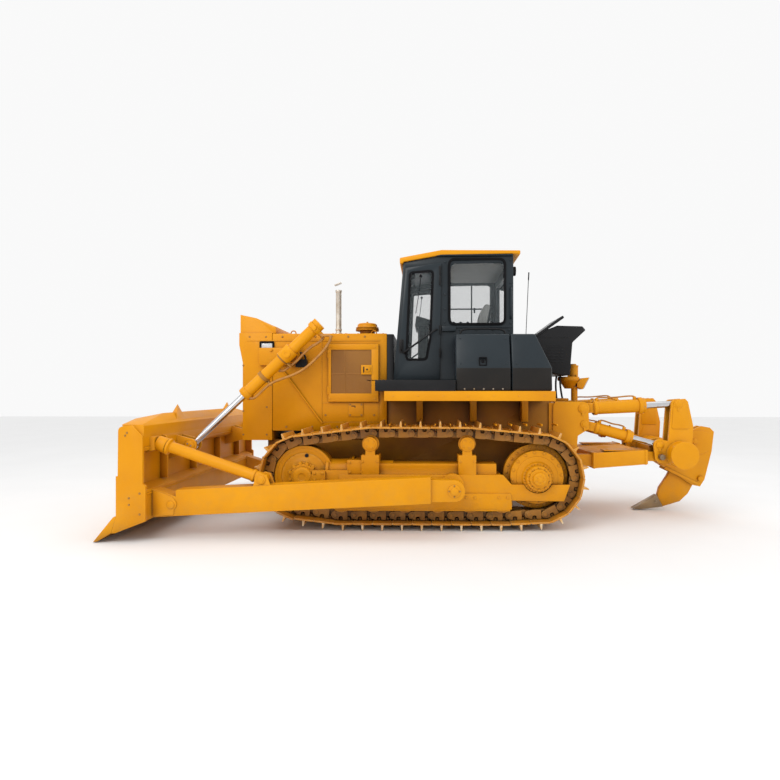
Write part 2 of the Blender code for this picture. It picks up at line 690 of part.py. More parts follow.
def make_roof():
    outline = [(front_wall_x(3.20) - 0.045, 3.18), (front_wall_x(3.20) - 0.0045, 3.18)]
    under = cab_outline(2.0)[2:]
    outline += [(x, z + GAP) for x, z in reversed(under)]
    outline += shifted(SPROCKET_X, [(-0.13, 3.285), (-0.13, 3.335), (-1.10, 3.345), (-1.615, 3.25)])
    return paint(slab("cab_roof", outline, -CAB_HALF - 0.03, CAB_HALF + 0.03), YELLOW)


def make_seat():
    x = SPROCKET_X - 0.75
    base = block("seat", (x - 0.20, -0.20, FLOOR_TOP + GAP), (x + 0.18, 0.20, FLOOR_TOP + 0.34))
    cushion = block("seat_cushion", (x - 0.27, -0.26, FLOOR_TOP + 0.32), (x + 0.22, 0.26, FLOOR_TOP + 0.47))
    back = slab(
        "seat_back",
        [(x + 0.10, FLOOR_TOP + 0.44), (x + 0.22, FLOOR_TOP + 0.42), (x + 0.34, FLOOR_TOP + 1.02), (x + 0.24, FLOOR_TOP + 1.04)],
        -0.25,
        0.25,
    )
    rests = [
        block(f"armrest_{label}", (x - 0.10, *[span(side, 0.24, 0.32)[0]], FLOOR_TOP + 0.60), (x + 0.28, span(side, 0.24, 0.32)[1], FLOOR_TOP + 0.66))
        for side, label in SIDES
    ]
    return paint(fuse(base, cushion, back, *rests), SEAT_GREY)


# ---------------------------------------------------------------- blade


def on_lift_line(reach):
    """A place on the lift cylinder's centre line, at a distance from its rod eye."""
    return ROD_EYE[0] + math.cos(LIFT_SLOPE) * reach, ROD_EYE[1] + math.sin(LIFT_SLOPE) * reach


def lift_pivot():
    return on_lift_line(YOKE_REACH)


BLADE_FRONT = IDLER_X - 1.829
BLADE_BACK = IDLER_X - 1.545
CREST_Z, SIDE_CREST_Z = 1.345, 1.240
CREST_HALF = 1.20


def blade_section():
    """The blade seen from its left end: a hollow-ground front, a sloping crest and a stepped back."""
    sagitta, top, low = 0.115, CREST_Z - 0.05, 0.27
    chord = top - low
    radius = (chord**2 / 4 + sagitta**2) / (2 * sagitta)
    half = math.degrees(math.asin(chord / 2 / radius))
    face = arc((BLADE_FRONT + 0.03 + sagitta - radius, (top + low) / 2), radius, -half, half, 10)
    back = [(BLADE_BACK + 0.02, 0.225), (BLADE_BACK + 0.02, 0.55), (BLADE_BACK - 0.10, 0.60)]
    back += [(BLADE_BACK - 0.10, 0.92), (BLADE_BACK, 0.97), (BLADE_BACK, CREST_Z - 0.115)]
    crest = [(IDLER_X - 1.64, CREST_Z)]
    return back + crest + face[::-1] + [(BLADE_FRONT + 0.01, 0.225)]


def gusset(name, side):
    """A folded three-cornered plate that stands on the crest behind the blade's middle."""
    corners = [(IDLER_X - 1.775, 0.86, 1.19), (BLADE_BACK - 0.001, 0.66, 1.16), (BLADE_BACK - 0.001, 1.06, 1.16)]
    corners.append((IDLER_X - 1.618, 0.86, 1.445))
    mesh = bpy.data.meshes.new(name)
    mesh.from_pydata([(x, side * y, z) for x, y, z in corners], [], [(0, 1, 2), (0, 3, 1), (1, 3, 2), (2, 3, 0)])
    shape = bmesh.new()
    shape.from_mesh(mesh)
    bmesh.ops.recalc_face_normals(shape, faces=shape.faces)
    shape.to_mesh(mesh)
    shape.free()
    return add_object(name, mesh)


def make_blade():
    half = BLADE_HALF - END_PLATE
    blade = slab("blade", blade_section(), -half - 0.01, half + 0.01)
    drop = CREST_Z - SIDE_CREST_Z
    for side, label in SIDES:
        corner = [(CREST_HALF, CREST_Z), (BLADE_HALF, CREST_Z - drop), (BLADE_HALF + 0.1, CREST_Z - drop)]
        corner += [(BLADE_HALF + 0.1, CREST_Z + 0.2), (CREST_HALF, CREST_Z + 0.2)]
        cut(blade, slab("crest_corner_" + label, [(side * y, z) for y, z in corner], BLADE_FRONT - 1, BLADE_BACK + 1, "X"))
    added = []
    for side, label in SIDES:
        end = [(BLADE_FRONT, 0.27), (BLADE_FRONT - 0.05, 0.10), (BLADE_FRONT - 0.01, 0.10), (BLADE_BACK + 0.03, 0.225)]
        end += [(BLADE_BACK + 0.03, 0.60), (BLADE_BACK, 0.62), (BLADE_BACK, 1.126)]
        end += [(BLADE_FRONT + 0.173, SIDE_CREST_Z), (BLADE_FRONT + 0.06, SIDE_CREST_Z - 0.015)]
        end += arc((BLADE_FRONT + 0.07, SIDE_CREST_Z - 0.06), 0.045, 100, 180, 3)
        end += [(BLADE_FRONT + 0.02, 0.70), (BLADE_FRONT, 0.70)]
        added.append(slab("end_plate_" + label, end, *span(side, half, BLADE_HALF)))
        # The lower lugs that hold a push arm, the upper bracket that holds its brace, and the lift cylinder's lugs.
        arm = [(BLADE_BACK - 0.05, 0.23), (BLADE_BACK + 0.28, 0.25), (BLADE_BACK + 0.28, 0.46), (BLADE_BACK - 0.05, 0.56)]
        added.append(slab("arm_bracket_" + label, arm, *span(side, ARM_Y - 0.10, ARM_Y + 0.10)))
        brace = [(BLADE_BACK - 0.05, 0.94), (BLADE_BACK + 0.045, 0.96), (BLADE_BACK + 0.045, 1.10), (BLADE_BACK - 0.05, 1.12)]
        added.append(slab("brace_bracket_" + label, brace, *span(side, ARM_Y - 0.06, ARM_Y + 0.10)))
        x, z = ROD_EYE
        lug = [(BLADE_BACK - 0.12, z - 0.16), (x, z - 0.085)] + arc((x, z), 0.085, -90, 90, 8)
        lug.append((BLADE_BACK - 0.12, z + 0.16))
        for sign in (-1, 1):
            near, far = CYLINDER_Y + sign * LUG_SPACE / 2, CYLINDER_Y + sign * (LUG_SPACE / 2 + LUG)
            added.append(slab(f"lift_lug_{label}_{sign}", lug, *span(side, min(near, far), max(near, far))))
        added.append(gusset("gusset_" + label, side))
    return paint(fuse(blade, *added), YELLOW)


def make_cutting_edge():
    """The edge bolted under the blade, from end bit to end bit, tilted forward to the ground."""
    tip = (IDLER_X - 2.076, 0.004)
    heel = (BLADE_FRONT - 0.051 - GAP, 0.10)
    face = (BLADE_FRONT - GAP, 0.27)
    outline = [tip, (tip[0] + 0.05, 0.012), heel, face, (face[0] - 0.03, 0.27)]
    return paint(slab("cutting_edge", outline, -BLADE_HALF, BLADE_HALF), YELLOW)


ARM_FRONT = (BLADE_BACK + 0.2803, 0.25, 0.53)  # x, low z and high z
ARM_RISE = 0.144  # of the rear end over the front
BRACE_SPACE = 0.0645  # half the width between the ears that hold a brace's foot


def make_push_arm(side, label):
    x, low, top = ARM_FRONT
    rear = IDLER_X + 1.49
    outline = [(x, low), (rear, low + ARM_RISE), (rear, top + ARM_RISE), (x, top)]
    arm = slab("push_arm_" + label, outline, *span(side, ARM_Y - ARM_HALF, ARM_Y + ARM_HALF))
    tx, tz = TRUNNION
    tongue = [(rear - 0.25, tz - 0.12), (tx, tz - 0.115)] + arc(TRUNNION, 0.115, -90, 90, 12) + [(rear - 0.25, tz + 0.12)]
    fuse(arm, slab("arm_tongue_" + label, tongue, *span(side, ARM_Y - 0.07, ARM_Y + 0.06)))
    x, z = BRACE_FOOT
    ear = [(x - 0.11, z - 0.15), (x + 0.13, z - 0.15), (x + 0.06, z + 0.05), (x, z + 0.07), (x - 0.06, z + 0.05)]
    for sign in (-1, 1):
        near, far = ARM_Y + sign * BRACE_SPACE, ARM_Y + sign * (BRACE_SPACE + 0.02)
        fuse(arm, slab(f"brace_ear_{label}_{sign}", ear, *span(side, min(near, far), max(near, far))))
    cut(arm, pin("trunnion_bore_" + label, TRUNNION, side, ARM_Y - 0.2, ARM_Y + 0.025, 0.06 + PIN_GAP))
    return paint(arm, YELLOW)


BRACE_HEAD = (BLADE_BACK + 0.0453, 1.03)
BRACE_FOOT = (IDLER_X - 0.34, 0.64)


def make_brace(side, label):
    """A plain tube at the left, and at the right the cylinder that tilts the blade."""
    (x0, z0), (x1, z1) = BRACE_HEAD, BRACE_FOOT
    y = side * ARM_Y
    dx, dz = x1 - x0, z1 - z0
    name = "brace_tube_left" if side < 0 else "tilt_cylinder_right"
    radius = 0.062 if side < 0 else 0.05
    tube = rod(name, (x0 + 0.01, y, z0), (x1, y, z1), radius, 20)
    collar = rod("brace_collar_" + label, (x0, y, z0), (x0 + 0.10, y, z0 + 0.10 * dz / dx), 0.085, 20)
    half = BRACE_SPACE - GAP
    foot = pin("brace_foot_" + label, BRACE_FOOT, side, ARM_Y - half, ARM_Y + half, 0.058, 20)
    added = [collar, foot]
    if side > 0:
        added.append(rod("tilt_barrel", (x0 + 0.12 * dx, y, z0 + 0.12 * dz), (x0 + 0.62 * dx, y, z0 + 0.62 * dz), 0.085, 20))
    tube = fuse(tube, *added)
    trim = block("brace_trim_" + label, (x0 - 0.3, y - 0.2, z0 - 0.3), (x0, y + 0.2, z0 + 0.3))
    return paint(cut(tube, trim), YELLOW)


def make_lift_cylinder(side, label):
    y = side * CYLINDER_Y

    def at(reach):
        x, z = on_lift_line(reach)
        return (x, y, z)

    pivot = lift_pivot()
    barrel = rod("lift_barrel_" + label, at(GLAND_REACH), at(YOKE_REACH + TAIL), LIFT_R, 24)
    gland = rod("lift_gland_" + label, at(GLAND_REACH), at(GLAND_REACH + 0.07), LIFT_R + 0.015, 24)
    head = rod("lift_head_" + label, at(YOKE_REACH + TAIL - 0.05), at(YOKE_REACH + TAIL), LIFT_R + 0.012, 24)
    collar = rod("lift_collar_" + label, at(YOKE_REACH - 0.08), at(YOKE_REACH + 0.08), LIFT_R + 0.022, 24)
    stub = pin("lift_stub_" + label, pivot, side, HOOD_HALF + 0.12, CYLINDER_Y, 0.05)
    barrel = fuse(barrel, gland, head, collar, stub)
    bore = rod("lift_bore_" + label, at(GLAND_REACH - 0.1), at(YOKE_REACH + TAIL - 0.045), LIFT_ROD_R + PIN_GAP, 20)
    barrel = paint(cut(barrel, bore), YELLOW)
    shaft = rod("lift_rod_" + label, at(0.0), at(YOKE_REACH - 0.325), LIFT_ROD_R, 20)
    eye = pin("lift_eye_" + label, ROD_EYE, side, CYLINDER_Y - EYE_HALF, CYLINDER_Y + EYE_HALF, 0.07, 24)
    shaft = paint(fuse(shaft, eye), CHROME)
    hang_on("lift_yoke_" + label, pivot, y, [barrel, shaft])


def make_blade_group():
    pieces = [make_blade(), make_cutting_edge()]
    for side, label in SIDES:
        pieces += [make_push_arm(side, label), make_brace(side, label)]
    hang_on("blade_lift_axis", TRUNNION, 0.0, pieces)


# ---------------------------------------------------------------- ripper


def lugs(name, outline, side, plate=LUG, space=LUG_SPACE, y=RIPPER_Y):
    """The two plates of a clevis about a line of the ripper."""
    made = []
    for sign in (-1, 1):
        near, far = y + sign * space / 2, y + sign * (space / 2 + plate)
        made.append(slab(f"{name}_{side}_{sign}", outline, *span(side, min(near, far), max(near, far))))
    return made


def clevis_pin(name, place, side, radius):
    reach = LUG_SPACE / 2 + 0.005
    return pin(f"{name}_{side}", place, side, RIPPER_Y - reach, RIPPER_Y + reach, radius)


def make_ripper_bracket():
    """The mounting plate on the hull's rear, with a pair of side plates for each row of pins."""
    back = HULL_REAR + GAP
    base = block("ripper_bracket", (back, -0.575, 0.50), (back + 0.10, 0.575, 1.455))
    top = block("bracket_top", (back, -0.30, 1.40), (SPROCKET_X + 0.86, 0.30, 1.478))
    added = [top]
    side_plate = shifted(SPROCKET_X, [(0.31, 0.58), (0.52, 0.61), (0.60, 0.80), (0.62, 1.04)])
    side_plate += [(RIPPER_HEAD[0] + 0.06, RIPPER_HEAD[1] - 0.055), (RIPPER_HEAD[0] + 0.06, RIPPER_HEAD[1] + 0.06)]
    side_plate += arc(TILT_HEAD, 0.085, -30, 90, 6)
    side_plate += shifted(SPROCKET_X, [(0.34, 1.47), (0.31, 1.42)])
    for side, _ in SIDES:
        added += lugs("bracket_plate", side_plate, side)
        for name, place, radius in (
            ("arm_pin", ARM_PIVOT, RIPPER_PIN_R),
            ("tilt_pin", TILT_HEAD, RIPPER_PIN_R),
            ("lift_pin", RIPPER_HEAD, SMALL_PIN_R),
        ):
            added.append(clevis_pin(name, place, side, radius))
    return paint(fuse(base, *added, *pedestal()), YELLOW)


def pedestal():
    """What stands on the bracket's top: a post, a filter bowl, a flange, a valve head and a work lamp."""
    x = SPROCKET_X + 0.73
    outline = shifted(x, [(0.02, 1.66), (0.09, 1.63), (0.18, 1.79), (0.08, 1.78), (0.02, 1.72)])
    return [
        rod("pedestal_post", (x, 0, 1.46), (x, 0, 1.66), 0.045, 12),
        rod("pedestal_bowl", (x - 0.07, 0, 1.64), (x - 0.07, 0, 1.75), 0.06, 20, 0.135),
        rod("pedestal_flange", (x - 0.08, 0, 1.745), (x - 0.08, 0, 1.80), 0.14, 24),
        rod("pedestal_head", (x - 0.02, 0, 1.79), (x - 0.02, 0, 1.95), 0.07, 20),
        slab("pedestal_lamp", outline, -0.08, 0.08),
    ]


def make_ripper_arm():
    """The lower frame: a beam at each side and a wide plate between them."""
    x0, x1 = SPROCKET_X + 0.80, SPROCKET_X + 1.48
    beams = []
    tongue_half = LUG_SPACE / 2 - 0.001
    for side, label in SIDES:
        front = arc(ARM_PIVOT, 0.085, 90, 270, 10) + [(x0 + 0.05, 0.66), (x0 + 0.05, 0.80)]
        rear = [(x1 - 0.05, 0.72)] + arc(BEAM_PIVOT, 0.058, -90, 90, 10) + [(x1 - 0.05, 0.84)]
        body = [(x0, 0.635), (x1, 0.69), (x1, 0.865), (x0, 0.825)]
        beam = slab("ripper_beam_" + label, body, *span(side, RIPPER_Y - 0.13, RIPPER_Y + 0.13))
        spread = span(side, RIPPER_Y - tongue_half, RIPPER_Y + tongue_half)
        fuse(beam, slab("front_tongue_" + label, front, *spread), slab("rear_tongue_" + label, rear, *spread))
        beams.append(beam)
    plate = slab("ripper_arm", [(x0 + 0.02, 0.70), (x1 - 0.02, 0.73), (x1 - 0.02, 0.855), (x0 + 0.02, 0.815)], -0.40, 0.40)
    arm = fuse(plate, *beams)
    for side, label in SIDES:
        reach = (RIPPER_Y - 0.2, RIPPER_Y + 0.2)
        cut(arm, pin("arm_bore_" + label, ARM_PIVOT, side, *reach, RIPPER_PIN_R + PIN_GAP))
        cut(arm, pin("shaft_bore_" + label, BEAM_PIVOT, side, *reach, SMALL_PIN_R + PIN_GAP))
    return paint(arm, YELLOW)


def make_ripper_shaft():
    x, z = BEAM_PIVOT
    return paint(rod("ripper_pivot_shaft", (x, -0.66, z), (x, 0.66, z), SMALL_PIN_R, 24), STEEL)


def make_ripper_beam():
    """The cross beam with its upright clevises, its pivot lugs and the pocket that holds the shank."""
    x, z = CROSS_BEAM
    beam = rod("ripper_cross_beam", (x, -CROSS_HALF, z), (x, CROSS_HALF, z), CROSS_R, 32)
    upright = [(x - 0.15, z + 0.02), (x - 0.10, 1.47), (x - 0.07, 1.495), (x + 0.07, 1.507)]
    upright += [(x + 0.105, 1.47), (x + 0.17, 1.165), (x + 0.155, z + 0.02)]
    hinge = [(x - 0.02, z - 0.13), (BEAM_PIVOT[0], BEAM_PIVOT[1] - 0.075)]
    hinge += arc(BEAM_PIVOT, 0.075, -90, -180, 5)
    hinge += arc(RIPPER_EYE, 0.075, 180, 90, 5) + [(x - 0.02, z + 0.14)]
    added = []
    for side, _ in SIDES:
        added += lugs("upright", upright, side)
        added += lugs("hinge_lug", hinge, side)
    pocket = [(x - 0.12, z - 0.13), (x + 0.40, 0.345), (x + 0.50, 0.325), (x + 0.56, 0.42)]
    pocket += [(x + 0.655, 0.80), (x + 0.685, 1.06), (x + 0.63, 1.115), (x + 0.52, 1.135), (x + 0.10, z + 0.14)]
    for sign in (-1, 1):
        low, high = sorted((sign * (SHANK_HALF + GAP), sign * (SHANK_HALF + 0.045)))
        added.append(slab(f"pocket_{sign}", pocket, low, high))
    beam = fuse(beam, *added)
    for side, _ in SIDES:
        cut(beam, pin(f"hinge_bore_{side}", BEAM_PIVOT, side, RIPPER_Y - 0.2, RIPPER_Y + 0.2, SMALL_PIN_R + PIN_GAP))
    return paint(beam, YELLOW)


def make_shank():
    """The single curved shank, held in the pocket, and the point on its tip."""
    x, z = CROSS_BEAM
    back = [(x + 0.47, 1.02), (x + 0.47, 0.60), (x + 0.435, 0.36), (x + 0.36, 0.22), (x + 0.25, 0.115)]
    lower = [(x + 0.02, 0.045)]
    upper = [(x - 0.05, 0.175), (x - 0.02, 0.30), (x + 0.08, 0.45), (x + 0.14, 0.56), (x + 0.17, 0.62)]
    shank = slab("ripper_shank", back[::-1] + [(x + 0.20, 1.02)][:0] + [(x + 0.23, 1.02), (x + 0.23, 0.66)] + upper[::-1] + lower, -SHANK_HALF, SHANK_HALF)
    slot = pin("beam_clearance", CROSS_BEAM, 1, -0.2, 0.2, CROSS_R + GAP * 4, 32)
    paint(cut(shank, slot), YELLOW)
    point = [(x + 0.02, 0.0447), (x - 0.3, 0.006), (x - 0.385, 0.018), (x - 0.06, 0.205), (x - 0.0503, 0.175)]
    paint(slab("ripper_point", shifted(-GAP, point), -0.05, 0.05), STEEL)


def make_ripper_cylinder(kind, side, label, head, eye, radius, rod_radius, gland, head_pin):
    """A barrel that turns on a pin of the bracket, and a rod that ends in an eye."""
    y = side * RIPPER_Y
    length = math.dist(head, eye)
    ux, uz = (eye[0] - head[0]) / length, (eye[1] - head[1]) / length

    def at(reach):
        return (head[0] + ux * reach, y, head[1] + uz * reach)

    half = EYE_HALF + 0.004
    lug_r = min(0.078, radius)
    barrel = pin(f"{kind}_barrel_{label}", head, side, RIPPER_Y - half, RIPPER_Y + half, lug_r)
    # The head between the lugs is no wider than they allow, and the tube starts clear of them.
    neck = block(f"{kind}_neck_{label}", (0.0, -half, -lug_r * 0.8), (0.17, half, lug_r * 0.8))
    neck.matrix_world = Matrix.Translation((head[0], y, head[1])) @ Matrix.Rotation(-math.atan2(uz, ux), 4, "Y") @ Matrix.Translation((0.085, 0, 0))
    tube = rod(f"{kind}_tube_{label}", at(0.15), at(gland), radius, 24)
    ring = rod(f"{kind}_ring_{label}", at(gland - 0.07), at(gland), radius + 0.012, 24)
    barrel = fuse(barrel, neck, tube, ring)
    bore = rod(f"{kind}_bore_{label}", at(0.22), at(gland + 0.1), rod_radius + PIN_GAP, 20)
    hole = pin(f"{kind}_hole_{label}", head, side, RIPPER_Y - 0.2, RIPPER_Y + 0.2, head_pin + PIN_GAP)
    barrel = paint(cut(barrel, bore, hole), YELLOW)
    shaft = rod(f"{kind}_rod_{label}", at(gland - 0.24), at(length), rod_radius, 20)
    end = pin(f"{kind}_eye_{label}", eye, side, RIPPER_Y - EYE_HALF, RIPPER_Y + EYE_HALF, 0.05)
    shaft = paint(fuse(shaft, end), CHROME)
    hang_on(f"{kind}_axis_{label}", head, y, [barrel, shaft])


def make_ripper_cylinders():
    for side, label in SIDES:
        make_ripper_cylinder(
            "ripper_tilt", side, label, TILT_HEAD, TILT_EYE, TILT_R, TILT_ROD_R, 0.80, RIPPER_PIN_R
        )
        make_ripper_cylinder(
            "ripper_lift", side, label, RIPPER_HEAD, RIPPER_EYE, RIPPER_LIFT_R, RIPPER_ROD_R, 0.64, SMALL_PIN_R
        )


def main():
    for side, label in SIDES:
        make_track(side, label)
        make_track_frame(side, label)
        make_idler(side, label)
        make_final_drive(side, label)
        make_engine_door(side, label)
        make_side_box(side, label)
        make_cab_door(side, label)
        make_lift_cylinder(side, label)
    make_hull()
    make_engine()
    make_radiator_guard()
    make_hood()
    make_hood_top()
    make_platform()
    make_cab_floor()
    make_fuel_tank()
    make_rear_housing()
    make_cab()
    make_roof()
    make_seat()
    make_blade_group()
    make_ripper_bracket()
    make_ripper_arm()
    make_ripper_shaft()
    make_ripper_beam()
    make_shank()
    make_ripper_cylinders()


main()
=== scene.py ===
import json
import math
import random

import bpy
from mathutils import Matrix, Vector


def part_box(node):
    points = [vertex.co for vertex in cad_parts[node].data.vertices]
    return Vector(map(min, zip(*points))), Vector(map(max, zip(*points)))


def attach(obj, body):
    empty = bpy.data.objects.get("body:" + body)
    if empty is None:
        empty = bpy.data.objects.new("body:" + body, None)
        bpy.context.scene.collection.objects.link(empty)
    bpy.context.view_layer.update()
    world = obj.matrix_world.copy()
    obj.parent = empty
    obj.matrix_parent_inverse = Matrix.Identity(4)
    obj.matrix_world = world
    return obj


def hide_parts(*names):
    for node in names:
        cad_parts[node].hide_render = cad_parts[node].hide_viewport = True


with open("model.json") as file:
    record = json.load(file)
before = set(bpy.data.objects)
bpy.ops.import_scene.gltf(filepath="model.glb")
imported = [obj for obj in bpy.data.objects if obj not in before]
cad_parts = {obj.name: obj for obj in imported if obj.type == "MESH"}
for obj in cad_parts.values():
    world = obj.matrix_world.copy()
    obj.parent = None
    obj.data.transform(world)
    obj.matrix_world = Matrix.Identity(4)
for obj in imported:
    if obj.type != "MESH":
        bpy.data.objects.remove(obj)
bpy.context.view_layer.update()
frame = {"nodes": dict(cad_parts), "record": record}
cadNodes = frame["nodes"]
bodyOf = {node: body for body, held in frame["record"]["behaviour"]["bodies"].items() for node in held}
sides = ((-1, "left"), (1, "right"))
print("stage: frame loaded")

# driving places, measured from the two axles
driveX = sum(c[0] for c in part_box("final_drive_left")) / 2
idlerX = sum(c[0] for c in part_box("idler_left")) / 2
trackY = -sum(c[1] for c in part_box("track_left")) / 2
shoeHalf = (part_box("track_left")[1][1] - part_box("track_left")[0][1]) / 2
axleZ = 0.60


# helpers that work like the menu commands

def clearSelection():
    for chosen in list(bpy.context.selected_objects):
        chosen.select_set(False)


def pick(*pieces):
    clearSelection()
    for piece in pieces:
        piece.select_set(True)
    bpy.context.view_layer.objects.active = pieces[0]


def settle(piece):
    pick(piece)
    bpy.ops.object.transform_apply(location=True, rotation=True, scale=True)


def roundEdges(piece, width, segments=2, angle=32):
    pick(piece)
    if width:
        bevel = piece.modifiers.new("edges", "BEVEL")
        bevel.width = width
        bevel.segments = segments
        bevel.limit_method = "ANGLE"
        bevel.angle_limit = math.radians(angle)
        bpy.ops.object.modifier_apply(modifier=bevel.name)
    bpy.ops.object.shade_smooth_by_angle(angle=math.radians(34))
    return piece


def tidyMesh(piece, distance=0.00005):
    pick(piece)
    bpy.ops.object.mode_set(mode="EDIT")
    bpy.ops.mesh.select_all(action="SELECT")
    bpy.ops.mesh.remove_doubles(threshold=distance)
    bpy.ops.mesh.normals_make_consistent(inside=False)
    bpy.ops.object.mode_set(mode="OBJECT")


def block(name, low, high, edge=0.004, segments=2):
    clearSelection()
    middle = [(a + b) / 2 for a, b in zip(low, high)]
    bpy.ops.mesh.primitive_cube_add(size=1, location=middle)
    piece = bpy.context.object
    piece.name = name
    piece.scale = [abs(b - a) for a, b in zip(low, high)]
    settle(piece)
    return roundEdges(piece, edge, segments)


def plate(name, outline, low, high, axis="Y", edge=0.004, segments=2):
    clearSelection()
    bpy.ops.mesh.primitive_circle_add(vertices=len(outline), radius=1, fill_type="NGON")
    piece = bpy.context.object
    piece.name = name
    low, high = min(low, high), max(low, high)
    spots = {"X": lambda a, b: (low, a, b), "Y": lambda a, b: (a, low, b), "Z": lambda a, b: (a, b, low)}
    for vertex, (a, b) in zip(piece.data.vertices, outline):
        vertex.co = spots[axis](a, b)
    step = {"X": (high - low, 0, 0), "Y": (0, high - low, 0), "Z": (0, 0, high - low)}[axis]
    bpy.ops.object.mode_set(mode="EDIT")
    bpy.ops.mesh.select_all(action="SELECT")
    bpy.ops.mesh.extrude_region_move(TRANSFORM_OT_translate={"value": step})
    bpy.ops.mesh.select_all(action="SELECT")
    bpy.ops.mesh.normals_make_consistent(inside=False)
    bpy.ops.object.mode_set(mode="OBJECT")
    return roundEdges(piece, edge, segments)


def turned(name, start, towards, profile, count=24, edge=0.0, bore=0.0):
    clearSelection()
    bpy.ops.mesh.primitive_circle_add(vertices=count, radius=profile[0][1], fill_type="NGON")
    piece = bpy.context.object
    piece.name = name
    bpy.ops.object.mode_set(mode="EDIT")
    bpy.ops.mesh.select_all(action="SELECT")
    bpy.ops.transform.translate(value=(0, 0, profile[0][0]))
    for (before, wide), (after, narrow) in zip(profile, profile[1:]):
        bpy.ops.mesh.extrude_region_move(TRANSFORM_OT_translate={"value": (0, 0, after - before)})
        bpy.ops.transform.resize(value=(narrow / wide, narrow / wide, 1))
    if bore:
        bpy.ops.mesh.select_all(action="DESELECT")
        bpy.ops.object.mode_set(mode="OBJECT")
        for face in piece.data.polygons:
            face.select = len(face.vertices) == count
        bpy.ops.object.mode_set(mode="EDIT")
        bpy.ops.mesh.inset(thickness=profile[0][1] - bore)
        bpy.ops.mesh.delete(type="FACE")
        bpy.ops.mesh.select_all(action="DESELECT")
        bpy.ops.mesh.select_mode(type="EDGE")
        bpy.ops.mesh.select_non_manifold()
        bpy.ops.mesh.bridge_edge_loops()
    bpy.ops.mesh.select_all(action="SELECT")
    bpy.ops.mesh.normals_make_consistent(inside=False)
    bpy.ops.object.mode_set(mode="OBJECT")
    direction = (Vector(towards) - Vector(start)).normalized()
    piece.matrix_world = Matrix.Translation(start) @ direction.to_track_quat("Z", "Y").to_matrix().to_4x4()
    settle(piece)
    return roundEdges(piece, edge)


def bar(name, start, end, radius, count=16, edge=0.003):
    length = (Vector(end) - Vector(start)).length
    return turned(name, start, end, [(0, radius), (length, radius)], count, edge)


def pipe(name, route, radius, smooth=True):
    clearSelection()
    curve = bpy.data.curves.new(name, "CURVE")
    curve.dimensions = "3D"
    curve.bevel_depth = radius
    curve.bevel_resolution = 3
    curve.resolution_u = 6
    curve.use_fill_caps = True
    spline = curve.splines.new("NURBS" if smooth else "POLY")
    spline.points.add(len(route) - 1)
    for point, place in zip(spline.points, route):
        point.co = (*place, 1)
    if smooth:
        spline.order_u = min(4, len(route))
        spline.use_endpoint_u = True
    piece = bpy.data.objects.new(name, curve)
    bpy.context.scene.collection.objects.link(piece)
    pick(piece)
    bpy.ops.object.convert(target="MESH")
    piece = bpy.context.object
    tidyMesh(piece)
    pick(piece)
    bpy.ops.object.shade_smooth_by_angle(angle=math.radians(50))
    return piece


def joined(name, pieces):
    pick(*pieces)
    if len(pieces) > 1:
        bpy.ops.object.join()
    pieces[0].name = name
    return pieces[0]


def copies(model, name, places):
    made = []
    for place in places:
        one = model.copy()
        one.data = model.data.copy()
        one.matrix_world = place
        bpy.context.scene.collection.objects.link(one)
        made.append(one)
    bpy.data.objects.remove(model, do_unlink=True)
    bpy.context.view_layer.update()
    for one in made:
        one.data.transform(one.matrix_world)
        one.matrix_world = Matrix.Identity(4)
    return joined(name, made)


def facing(place, direction, turn=0.0):
    aim = Vector(direction).normalized().to_track_quat("Z", "Y").to_matrix().to_4x4()
    return Matrix.Translation(place) @ aim @ Matrix.Rotation(turn, 4, "Z")


def boltModel(radius=0.014, height=0.012, washer=True):
    head = turned(
        "bolt", (0, 0, 0), (0, 0, 1), [(0.001, radius), (height * 0.85, radius), (height, radius * 0.86)], 6
    )
    if not washer:
        return head
    ring = turned(
        "washer", (0, 0, 0), (0, 0, 1), [(-0.002, radius * 1.32), (0.0025, radius * 1.32)], 16, 0.0006
    )
    return joined("bolt", [head, ring])


def bolts(name, places, direction, radius=0.014, height=0.012, washer=True):
    turnBy = random.Random(name)
    spots = [facing(place, direction, turnBy.uniform(0, 1.0)) for place in places]
    return copies(boltModel(radius, height, washer), name, spots)


def ringOf(centre, radius, count, side, start=0.0):
    x, y, z = centre
    angles = [start + 2 * math.pi * i / count for i in range(count)]
    return [(x + radius * math.cos(a), y, z + radius * math.sin(a)) for a in angles]


def arc(centre, radius, start, end, steps):
    angles = [math.radians(start + (end - start) * i / steps) for i in range(steps + 1)]
    return [(centre[0] + radius * math.cos(a), centre[1] + radius * math.sin(a)) for a in angles]


def finished(piece, body, material):
    piece.data.materials.clear()
    piece.data.materials.append(material)
    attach(piece, body)
    return piece


# each look below is one finish, and paint() turns it into nodes

def newMaterial(name):
    made = bpy.data.materials.new(name)
    made.use_nodes = True
    tree = made.node_tree
    return made, tree, tree.nodes["Principled BSDF"], tree.links


def addNode(tree, kind, **settings):
    node = tree.nodes.new("ShaderNode" + kind)
    for key, value in settings.items():
        if hasattr(node, key):
            setattr(node, key, value)
        else:
            node.inputs[key.replace("_", " ")].default_value = value
    return node


def noiseOf(tree, coords, scale, detail=4.0, rough=0.5):
    noise = addNode(tree, "TexNoise")
    noise.inputs["Scale"].default_value = scale
    noise.inputs["Detail"].default_value = detail
    noise.inputs["Roughness"].default_value = rough
    tree.links.new(coords, noise.inputs["Vector"])
    return noise.outputs["Fac"]


def ranged(tree, value, low, high, toLow=0.0, toHigh=1.0):
    node = addNode(tree, "MapRange")
    for key, number in (("From Min", low), ("From Max", high), ("To Min", toLow), ("To Max", toHigh)):
        node.inputs[key].default_value = number
    tree.links.new(value, node.inputs["Value"])
    return node.outputs["Result"]


